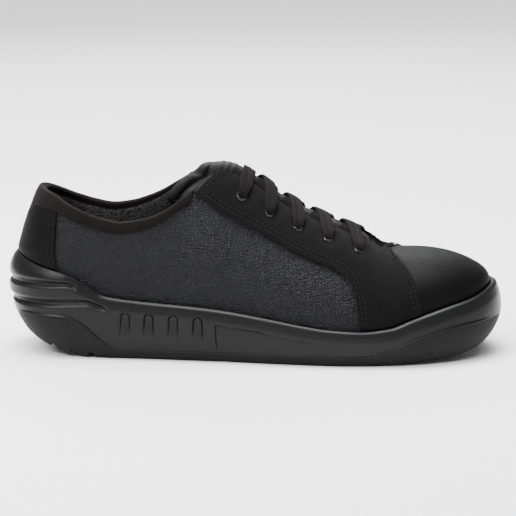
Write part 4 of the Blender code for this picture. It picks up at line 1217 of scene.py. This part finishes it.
def seam_turn(up):
    return turn_of(SEAM_ALONG[0] + (SEAM_ALONG[1] - SEAM_ALONG[0]) * up)


def quarter_point(u, v):
    side = side_of(u)
    turn = seam_turn(v) * np.abs(1 - 2 * u)
    around = side * (1 - edge_up(station(turn), side) * v)
    plain = skin(turn, around)
    return skin(turn, around, -creases(plain))


def toe_point(u, v):
    side = side_of(u)
    turn = 1 - (1 - seam_turn(v)) * np.abs(1 - 2 * u)
    return skin(turn, side * (1 - v))


quarter = sheet("quarter_leather", 440, 64, quarter_point)
weld(quarter)
turn_outwards(quarter)
thicken(quarter, WALL)
finish_piece(quarter, "grained_leather", "upper", sharp=50)
toe = sheet("toe_leather", 200, 90, toe_point)
weld(toe)
turn_outwards(toe)
thicken(toe, WALL)
finish_piece(toe, "smooth_leather", "upper", sharp=50)

# %% [markdown]
# ## The suede eyelet piece
# One piece of suede runs down both sides of the throat, meets in front of it and reaches the sole on
# both sides. A grid is stretched between two rails: the free edge with the front edge, and the back
# edge. The two halves are welded where they meet on the ridge, then given a wall and a soft cut edge.

# %% Rails of the eyelet piece
STAY_LOW = 0.0004
STAY_HIGH = 0.0018
CORNER_DROP = 0.030  # how far the back corner at the top is rounded off, as a share around
STAY_BACK_SHARE = 0.80
STAY_BRIDGE_SHARE = 0.825
EDGE_ENDS = 0.66  # share of the rail where the throat's edge ends, and where the bridge ends
BRIDGE_ENDS = 0.72


def back_rail():
    """Evenly spaced points of the lower and back edge, as share along and height."""
    height = np.linspace(EYESTAY_BACK["height"][0], EYESTAY_BACK["height"][-1], 400)
    by_height = {name: EYESTAY_BACK[name][::-1] for name in ("height", "along")}
    along = follow(by_height, "along", height)
    step = np.hypot(np.diff(along) * LENGTH, np.diff(height) * INSTEP_HEIGHT)
    reach = np.concatenate([[0.0], np.cumsum(step)])
    return along, height, reach / reach[-1]


BACK_ALONG, BACK_HEIGHT, BACK_REACH = back_rail()


def stay_place(rail, across, side):
    """Turn and around of the eyelet piece: rail runs along its two edges, across between them."""
    first = EYESTAY_BACK["along"][0] + 0.004
    on_edge = part_way(rail, 0.0, EDGE_ENDS)
    on_bridge = part_way(rail, EDGE_ENDS, BRIDGE_ENDS)
    on_front = part_way(rail, BRIDGE_ENDS, 1.0)
    eased = 1 - (1 - on_edge) ** 1.35
    along = first + (THROAT_END - first) * eased + (BAND_END - THROAT_END) * on_bridge
    along = np.where(rail > BRIDGE_ENDS, follow(EYESTAY_FRONT, "along", on_front), along)
    free_edge = edge_up(along, side) - CORNER_DROP * (1 - fade(rail, 0.0, 0.08))
    up = np.where(rail > EDGE_ENDS, 1 - on_front * (1 - above_rim(along)), free_edge)
    share = STAY_BACK_SHARE * on_edge + (STAY_BRIDGE_SHARE - STAY_BACK_SHARE) * on_bridge
    share = share + (1 - STAY_BRIDGE_SHARE) * on_front
    back_along = np.interp(share, BACK_REACH, BACK_ALONG)
    back_height = np.interp(share, BACK_REACH, BACK_HEIGHT) * INSTEP_HEIGHT
    back_up = np.maximum(up_at_height(back_along, back_height), above_rim(back_along))
    turn = turn_of(along) + (turn_of(back_along) - turn_of(along)) * across**1.5
    return turn, side * (1 - up - (back_up - up) * across)


def eyelet_place(pair, side):
    """Turn and around of an eyelet's middle on the skin."""
    along = EYELET_FIRST + pair * EYELET_PITCH
    gap = THROAT_HALF_GAP + EYELET_FROM_EDGE + EYELET_SPREAD * pair / (EYELET_PAIRS - 1)
    return float(turn_of(along)), float(side * (1 - up_at_gap(along, side, gap)))


EYELET_SPOTS = [(i, side, *eyelet_place(i, side)) for i in range(EYELET_PAIRS) for side in (-1, 1)]
print("eyelets", len(EYELET_SPOTS), "the first at", skin(*EYELET_SPOTS[0][2:]).round(4).tolist())


def stay_lift(points, front=0.0):
    """The suede is skived at its front edge, pressed down round each eyelet and swells between them."""
    lift = STAY_HIGH - 0.0009 * np.broadcast_to(front, len(points))
    for pair, side, turn, around in EYELET_SPOTS:
        reach = np.linalg.norm(points - skin(turn, around), axis=1)
        lift += 0.0003 * hump(reach - 0.0085, 0.0035) - 0.0004 * hump(reach, 0.0050)
    return lift


def eyestay_half(side):
    def place(u, v):
        turn, around = stay_place(u, v, side)
        front = fade(u, 0.60, 0.74) * (1 - fade(v, 0.0, 0.25))
        return skin(turn, around, stay_lift(skin(turn, around), front))

    return sheet("eyestay_suede", 260, 40, place)


def join(pieces):
    only(pieces[0])
    for piece in pieces[1:]:
        piece.select_set(True)
    bpy.ops.object.join()
    return bpy.context.object


eyestay = join([eyestay_half(-1), eyestay_half(1)])
weld(eyestay)
turn_outwards(eyestay)
thicken(eyestay, STAY_HIGH - STAY_LOW, edge=0.00045, segments=3)


# %% [markdown]
# ## Eyelets and their holes
# An eyelet is a turned part: a thin flange rolled over the suede and a tube through the wall. A circle
# is extruded along its profile ring by ring, and copied to ten places, each square to the skin. The
# holes are cut with one joined cutter, so that the Boolean runs once a piece.

# %% Holes and eyelets
def spot_matrix(turn, around):
    """A frame on the skin with its z axis outwards."""
    origin = skin(turn, around)
    outwards = unit(skin(turn, around, 0.001) - origin)
    forward = unit(skin(turn + 0.004, around) - skin(turn - 0.004, around))
    sideways = np.cross(outwards, forward)
    matrix = np.eye(4)
    matrix[:3, 0] = unit(np.cross(sideways, outwards))
    matrix[:3, 1] = sideways
    matrix[:3, 2] = outwards
    matrix[:3, 3] = origin
    return matrix


def transform(points, matrix):
    return points @ matrix[:3, :3].T + matrix[:3, 3]


HOLE_RADIUS = 0.0024
HOLE_DEPTH = 0.014


def hole_cutter():
    """A drill at every eyelet, joined into one piece."""
    drills = []
    for pair, side, turn, around in EYELET_SPOTS:
        bpy.ops.mesh.primitive_cylinder_add(vertices=24, radius=HOLE_RADIUS, depth=HOLE_DEPTH)
        drill = bpy.context.object
        move_points(drill, transform(points_of(drill), spot_matrix(turn, around)))
        drills.append(drill)
    return join(drills)


cutter = hole_cutter()
for piece in (eyestay, quarter):
    apply_modifier(piece, "BOOLEAN", operation="DIFFERENCE", object=cutter, solver="EXACT")
bpy.data.objects.remove(cutter)
finish_piece(eyestay, "suede", "eyestay", sharp=50)

EYELET_PROFILE = (
    (0.0021, -0.0024),
    (0.0018, -0.0022),
    (0.0017, 0.0010),
    (0.0018, 0.0020),
    (0.0021, 0.0024),
    (0.0024, 0.0025),
    (0.0028, 0.0024),
    (0.0031, 0.0021),
    (0.0033, 0.0018),
    (0.0032, 0.0016),
    (0.0023, 0.0016),
    (0.0023, -0.0024),
)


def turned_eyelet():
    """A circle is extruded along the profile, ring by ring, and closed on itself."""
    radius, height = EYELET_PROFILE[0]
    bpy.ops.object.select_all(action="DESELECT")
    bpy.ops.mesh.primitive_circle_add(vertices=32, radius=radius, location=(0, 0, height))
    ring = bpy.context.object
    bpy.ops.object.transform_apply()
    bpy.ops.object.mode_set(mode="EDIT")
    bpy.ops.mesh.select_all(action="SELECT")
    for (old, low), (new, high) in zip(EYELET_PROFILE, EYELET_PROFILE[1:] + EYELET_PROFILE[:1]):
        bpy.ops.mesh.extrude_edges_move(TRANSFORM_OT_translate={"value": (0, 0, high - low)})
        bpy.ops.transform.resize(value=(new / old, new / old, 1), center_override=(0, 0, high))
    bpy.ops.object.mode_set(mode="OBJECT")
    return turn_outwards(weld(ring), closed=True)


pattern = turned_eyelet()
for pair, side, turn, around in EYELET_SPOTS:
    word = "lateral" if side < 0 else "medial"
    ring = pattern.copy()
    ring.data = pattern.data.copy()
    ring.name = ring.data.name = f"eyelet_ring_{word}_{pair + 1}"
    bpy.context.collection.objects.link(ring)
    move_points(ring, transform(points_of(ring), spot_matrix(turn, around)))
    finish_piece(ring, "eyelet_metal", f"eyelet_{word}_{pair + 1}", sharp=60)
bpy.data.objects.remove(pattern)

# %% [markdown]
# ## Heel piece
# The heel piece is a patch over the skin. It stands between the sole's rim and the collar tape, and
# its front edges lean forward a little.

# %% The heel piece
COUNTER_HIGH = 0.0011
COUNTER_SEAT = 0.0002
COUNTER_LEAN = 0.0014


def counter_place(u, v):
    """Turn and around of the heel piece: u from the outer to the inner end, v upwards."""
    side = side_of(u)
    reach = np.abs(2 * u - 1)
    foot = above_rim(station(float(turn_of(COUNTER_END / LENGTH)) * reach))
    rim = float(sole_height("rim", 0.0))
    back = upper_back(rim + (COLLAR_HEIGHT - rim) * v * 0.8)
    end = np.maximum(COUNTER_END + COUNTER_LEAN * v - back, 0.0)
    turn = turn_of(end / (UPPER_FRONT - back)) * reach
    top = binding_foot(station(turn), side) + 0.012
    return turn, side * (1 - foot - (top - foot) * v)


counter = sheet("heel_leather", 150, 40, lambda u, v: skin(*counter_place(u, v), COUNTER_HIGH))
turn_outwards(counter)
thicken(counter, COUNTER_HIGH - COUNTER_SEAT, edge=0.0004)
finish_piece(counter, "smooth_leather", "counter", sharp=50)

# %% [markdown]
# ## Collar tape
# The tape is a woven ribbon folded over the top line from one eyelet piece to the other, so its
# section is a narrow arch: up the outside, over the edge and down the inside.

# %% The collar tape
TAPE_OUTSIDE = 0.0010
TAPE_INSIDE = WALL + 0.0016
TAPE_PUFF = 0.0005
TAPE_FOLD_RISE = 0.0013
FOLD_STARTS = 0.42
FOLD_ENDS = 0.58


def tape_point(u, v):
    side = side_of(u)
    turn = float(turn_of(BINDING_END)) * np.abs(1 - 2 * u)
    along = station(turn)
    top = edge_up(along, side)
    foot = top + (binding_foot(along, side) - top) * 0.88
    out_share = part_way(v, 0.0, FOLD_STARTS)
    in_share = part_way(v, FOLD_ENDS, 1.0)
    puff = TAPE_PUFF * np.sin(np.pi * part_way(v, 0.0, 0.46)) ** 0.6
    outer = skin(turn, side * (1 - foot - (top - foot) * out_share), TAPE_OUTSIDE + puff)
    inner = skin(turn, side * (1 - top - (foot - top) * in_share), -TAPE_INSIDE)
    out_top = skin(turn, side * (1 - top), TAPE_OUTSIDE + 0.0002)
    in_top = skin(turn, side * (1 - top), -TAPE_INSIDE)
    rise = unit(skin(turn, side * (1 - top)) - skin(turn, side * (1 - top + 0.02)))
    angle = np.pi * part_way(v, FOLD_STARTS, FOLD_ENDS)
    middle = (out_top + in_top) / 2
    half = (out_top - in_top) / 2
    fold = middle + half * np.cos(angle)[:, None] + rise * (np.sin(angle) * TAPE_FOLD_RISE)[:, None]
    return pick(v > FOLD_ENDS, inner, pick(v < FOLD_STARTS, outer, fold))


tape = sheet("collar_tape", 360, 34, tape_point, uv_size=(0.33, 0.018))
turn_outwards(tape)
thicken(tape, 0.0007, edge=0.0002)
finish_piece(tape, "binding_tape", "collar_binding", sharp=60)

# %% [markdown]
# ## Padded collar lining
# Inside the collar a knitted mesh covers a few millimetres of foam. The pad is thickest a little below
# the tape and thins out towards the footbed. It is a free-form pad on a fixed wall, so its swelling is
# written as a depth over the skin rather than simulated.

# %% The lining
LINING_FOOT = 0.05
LINING_SWELL = 0.0032


def lining_point(u, v):
    side = side_of(u)
    turn = float(turn_of(0.46)) * np.abs(1 - 2 * u)
    along = station(turn)
    top = edge_up(along, side) - 0.015
    swell = hump(v - 0.80, 0.20) * (1 - fade(along, 0.30, 0.44))
    depth = WALL + FIT + LINING_SWELL * swell * (1 - fade(v, 0.96, 1.0))
    return skin(turn, side * (1 - LINING_FOOT - (top - LINING_FOOT) * v), -depth)


lining = sheet("collar_lining", 300, 60, lining_point)
turn_outwards(lining)
thicken(lining, 0.0008)
finish_piece(lining, "lining")

# %% [markdown]
# ## The tongue
# The tongue is a foam pad in smooth cover cloth. It starts under the toe leather, swells between the
# two eyelet pieces and ends above them in a rolled edge. It is laid on the same skin, a little below
# it, with its thickness measured square to the skin.

# %% The tongue pad
TONGUE_HALF_WIDTH = 0.0250
TONGUE_THICKNESS = 0.0045
TONGUE_SEAT = 0.0009
TONGUE_CROWN = 0.0040
TONGUE_ROOT = 0.800


def tongue_lift(along, gap):
    """Lift of the tongue's face: under the wall at its sides, swelling between the eyelet pieces."""
    swell = np.maximum(1 - (gap / (THROAT_HALF_GAP * 0.92)) ** 2, 0.0)
    under = WALL + TONGUE_SEAT + 0.0020 * (1 - fade(along, 0.36, 0.42))
    under = under + TONGUE_SEAT * fade(along, THROAT_END - 0.08, THROAT_END - 0.03)
    crown = TONGUE_CROWN * fade(swell, 0.0, 0.8)
    return crown * (1 - fade(along, THROAT_END - 0.045, THROAT_END - 0.008)) - under


def tongue_place(u, v):
    """u runs across from the outer side, v from the free end to the root."""
    share = 2 * u - 1
    side = np.where(share < 0, -1.0, 1.0)
    end = follow(TONGUE_END, "along", np.abs(share))
    along = end + (TONGUE_ROOT - end) * v
    gap = TONGUE_HALF_WIDTH * (1 - 0.34 * fade(along, 0.5, 0.8)) * np.abs(share)
    return along, gap, side


def tongue_point(u, v, under=0.0):
    along, gap, side = tongue_place(u, v)
    lift = tongue_lift(along, gap)
    aside = np.abs(2 * u - 1)
    round_side = np.sqrt(1 - part_way(aside, 0.86, 1.0) ** 2)
    round_end = np.sqrt(1 - np.clip(1 - v / 0.03, 0, 1) ** 2)
    thick = TONGUE_THICKNESS * (1 - 0.45 * fade(aside, 0.55, 1.0)) * round_side * round_end
    middle = lift - TONGUE_THICKNESS * 0.5
    dimple = 0.0003 * np.sin(along * LENGTH * 420) * hump(gap, 0.012) * fade(along, 0.42, 0.46)
    roll = -0.0015 * hump(v - 0.046, 0.010) * fade(gap, 0.002, 0.011)
    folds = 0.0002 * np.sin(v * 190 + 3 * u) * hump(v - 0.12, 0.05)
    lift = middle + thick * (0.5 - under) + dimple + (roll + folds) * (1 - under)
    return skin(turn_of(along), side * (1 - up_at_gap(along, side, gap)), lift)


tongue_face = sheet("tongue_pad", 70, 220, tongue_point)
tongue_back = sheet("tongue_back", 70, 220, lambda u, v: tongue_point(u, v, 1.0))
tongue = join([tongue_face, tongue_back])
weld(tongue, 0.00005)
turn_outwards(tongue, closed=True)
finish_piece(tongue, "tongue_cover", "tongue", sharp=70)

# %% [markdown]
# ## Laces
# The lace is a flat woven ribbon, about eight millimetres wide. It comes up through each eyelet,
# crosses the throat towards the heel and dives under the far edge. Each strand is a grid whose long
# axis follows a path on the last and whose short axis is the ribbon's ribbed section.

# %% The strands
LACE_WIDTH = 0.0078
LACE_THICKNESS = 0.0014
LACE_SAG = 0.0005
LACE_RIBS = 7
LACE_SEAT = STAY_HIGH + 0.0011
LACE_END_WIDTH = 0.74
LACE_PAST_EYELET = 0.0022
SOFT_BEND = (-0.05, -0.025, 0.0, 0.025, 0.05)


def lace_path(pair, side, t):
    """Points and outward directions of a strand: t is 0 inside the eyelet and 1 under the far edge."""
    low = EYELET_FIRST + pair * EYELET_PITCH
    eyelet = THROAT_HALF_GAP + EYELET_FROM_EDGE + EYELET_SPREAD * pair / (EYELET_PAIRS - 1)
    start = eyelet + LACE_PAST_EYELET
    if pair == 0:
        gap = side * (start - 2 * start * t)
        along = low + 0 * t
    else:
        gap = side * (start - (start + THROAT_HALF_GAP * 1.12) * t)
        along = low - EYELET_PITCH * 0.56 * (0.35 * t + 0.65 * t**1.6)
    inside = 1 - fade(np.abs(gap), THROAT_HALF_GAP * 0.25, THROAT_HALF_GAP * 1.15)
    lift = LACE_SEAT - LACE_SAG * inside
    if pair > 0:
        over = 0.00085 if side < 0 else -0.0004
        lift = lift + over * hump(gap, 0.0075)
        lift = lift - 0.0052 * fade(t, 0.90, 1.0)
    from_end = t if pair > 0 else np.minimum(t, 1 - t)
    lift = lift + 0.0007 * hump(from_end - 0.10, 0.07)
    lift = lift - 0.0042 * (1 - fade(from_end, 0.0, 0.060)) ** 1.6
    hand = np.where(gap < 0, -1.0, 1.0)
    around = hand * (1 - up_at_gap(along, hand, np.abs(gap)))
    turn = turn_of(along)
    return skin(turn, around, lift), unit(skin(turn, around, lift + 0.001) - skin(turn, around, lift))


def soft_path(pair, side, t):
    """The same path, averaged over a short stretch so that the ribbon never bends sharply."""
    reach = part_way(np.minimum(t, 1 - t), 0.0, 0.12)
    parts = [lace_path(pair, side, np.clip(t + step * reach, 0.0, 1.0)) for step in SOFT_BEND]
    return sum(part[0] for part in parts) / len(parts), unit(sum(part[1] for part in parts))


def strand(name, pair, side):
    """One ribbon: its section is a flat oval with a wave of ribs on both faces."""

    def place(t, v):
        centre, outwards = soft_path(pair, side, t)
        first, last = np.clip(t - 0.006, 0.0, 1.0), np.clip(t + 0.006, 0.0, 1.0)
        ahead = unit(soft_path(pair, side, last)[0] - soft_path(pair, side, first)[0])
        sideways = unit(np.cross(ahead, outwards))
        outwards = np.cross(sideways, ahead)
        both = np.minimum(t, 1 - t) if pair == 0 else t
        narrow = LACE_END_WIDTH + (1 - LACE_END_WIDTH) * fade(both, 0.05, 0.20)
        narrow = narrow * np.sqrt(1 - np.clip(1 - (both + 0.004) / 0.045, 0.0, 1.0) ** 2)
        angle = 2 * np.pi * v
        x = np.cos(angle)
        x = np.sign(x) * np.abs(x) ** 0.75
        ribs = 1 + 0.45 * np.cos(x * np.pi * LACE_RIBS)
        y = np.sin(angle)
        y = np.sign(y) * np.abs(y) ** 0.55 * ribs
        curl = -0.0012 * (x**2) * (1 - narrow)
        half = LACE_WIDTH / 2 * narrow
        thick = LACE_THICKNESS / 2
        return centre + sideways * (x * half)[:, None] + outwards * (y * thick + curl)[:, None]

    piece = sheet(name, 110, 64, place, uv_size=(0.055, 0.018))
    in_edit_mode(
        weld(piece),
        lambda: bpy.ops.mesh.select_all(action="DESELECT"),
        bpy.ops.mesh.select_non_manifold,
        lambda: bpy.ops.mesh.fill_holes(sides=0),
    )
    return turn_outwards(piece, closed=True)


finish_piece(strand("lace_top_bar", 0, -1), "lace_cord", "lace_bar_1", sharp=70)
for pair in range(1, EYELET_PAIRS):
    near = strand(f"lace_{pair}_near", pair, -1)
    far = strand(f"lace_{pair}_far", pair, 1)
    for piece in (near, far):
        finish_piece(piece, "lace_cord", f"lace_crossing_{pair}", sharp=70)

# %% [markdown]
# ## Stitches
# Rows of stitches hold the panels. A stitch is a short bead of thread that dips into the leather at
# both ends. One bead of a few dozen faces is laid along each row at an even pitch, and all the beads
# of a row are one mesh.

# %% One bead and the rows
STITCH_PITCH = 0.0028
STITCH_LENGTH = 0.0021
STITCH_RADIUS = 0.00032


def stitch_bead():
    bpy.ops.object.select_all(action="DESELECT")
    bpy.ops.mesh.primitive_uv_sphere_add(segments=6, ring_count=4, radius=1.0)
    bead = bpy.context.object
    points = points_of(bead)[:, [2, 0, 1]]
    faces = [tuple(face.vertices) for face in bead.data.polygons]
    bpy.data.objects.remove(bead)
    return points * (STITCH_LENGTH / 2, STITCH_RADIUS * 1.2, STITCH_RADIUS), faces


BEAD_POINTS, BEAD_FACES = stitch_bead()


def stitch_row(path, outwards):
    """Points of all beads along a dense path, evenly spaced."""
    step = np.linalg.norm(np.diff(path, axis=0), axis=1)
    reach = np.concatenate([[0.0], np.cumsum(step)])
    count = max(int(reach[-1] / STITCH_PITCH), 1)
    middle = (np.arange(count) + 0.5) * reach[-1] / count

    def along_row(values, shift=0.0):
        return np.stack([np.interp(middle + shift, reach, values[:, i]) for i in range(3)], -1)

    up = unit(along_row(outwards))
    forward = unit(along_row(path, 0.0004) - along_row(path, -0.0004))
    sideways = unit(np.cross(up, forward))
    axes = np.stack([forward, sideways, up], axis=1)
    return [centre + BEAD_POINTS @ turned for centre, turned in zip(along_row(path), axes)]


def stitches(name, rows):
    beads = [bead for row in rows for bead in stitch_row(*row)]
    count = len(BEAD_POINTS)
    faces = [tuple(k + i * count for k in face) for i in range(len(beads)) for face in BEAD_FACES]
    mesh = bpy.data.meshes.new(name)
    mesh.from_pydata(np.concatenate(beads).tolist(), [], faces)
    piece = bpy.data.objects.new(name, mesh)
    bpy.context.collection.objects.link(piece)
    turn_outwards(piece, closed=True)
    print(name, len(beads), "stitches")
    return finish_piece(piece, "sewing_thread", sharp=80, slot="lace_cord")


def on_skin(turn, around, lift):
    """A row's path and its outward directions."""
    path = skin(turn, around, lift)
    return path, unit(skin(turn, around, lift + 0.001) - path)


def inset_row(row, shift):
    """Moves a row sideways on the surface by shift, to follow an edge at an even distance."""
    path, outwards = row
    ahead = unit(np.gradient(path, axis=0))
    return path + np.cross(outwards, ahead) * shift, outwards


def stay_row(side, across, first, last, shift):
    """A row on the eyelet piece, set in by shift from one of its edges."""
    rail = np.linspace(first, last, 500)
    turn, around = stay_place(rail, np.full(500, across), np.full(500, float(side)))
    return inset_row(on_skin(turn, around, STAY_HIGH), shift * side)


def counter_row(side, shift):
    """A row beside the front edge of the heel piece."""
    v = np.linspace(0.06, 0.97, 200)
    u = np.full(200, 0.0 if side < 0 else 1.0)
    return inset_row(on_skin(*counter_place(u, v), COUNTER_HIGH), -shift * side)


rows = []
for side in (-1, 1):
    for shift in (0.0020, 0.0042):
        rows.append(stay_row(side, 0.0, 0.735, 0.985, shift))
        rows.append(stay_row(side, 1.0, 0.02, 0.985, -shift))
    rows.append(stay_row(side, 0.0, 0.01, 0.71, 0.0020))
stitches("stitches_eyestay", rows)
rows = [counter_row(side, shift) for side in (-1, 1) for shift in (0.0016, 0.0036)]
stitches("stitches_heel", rows)
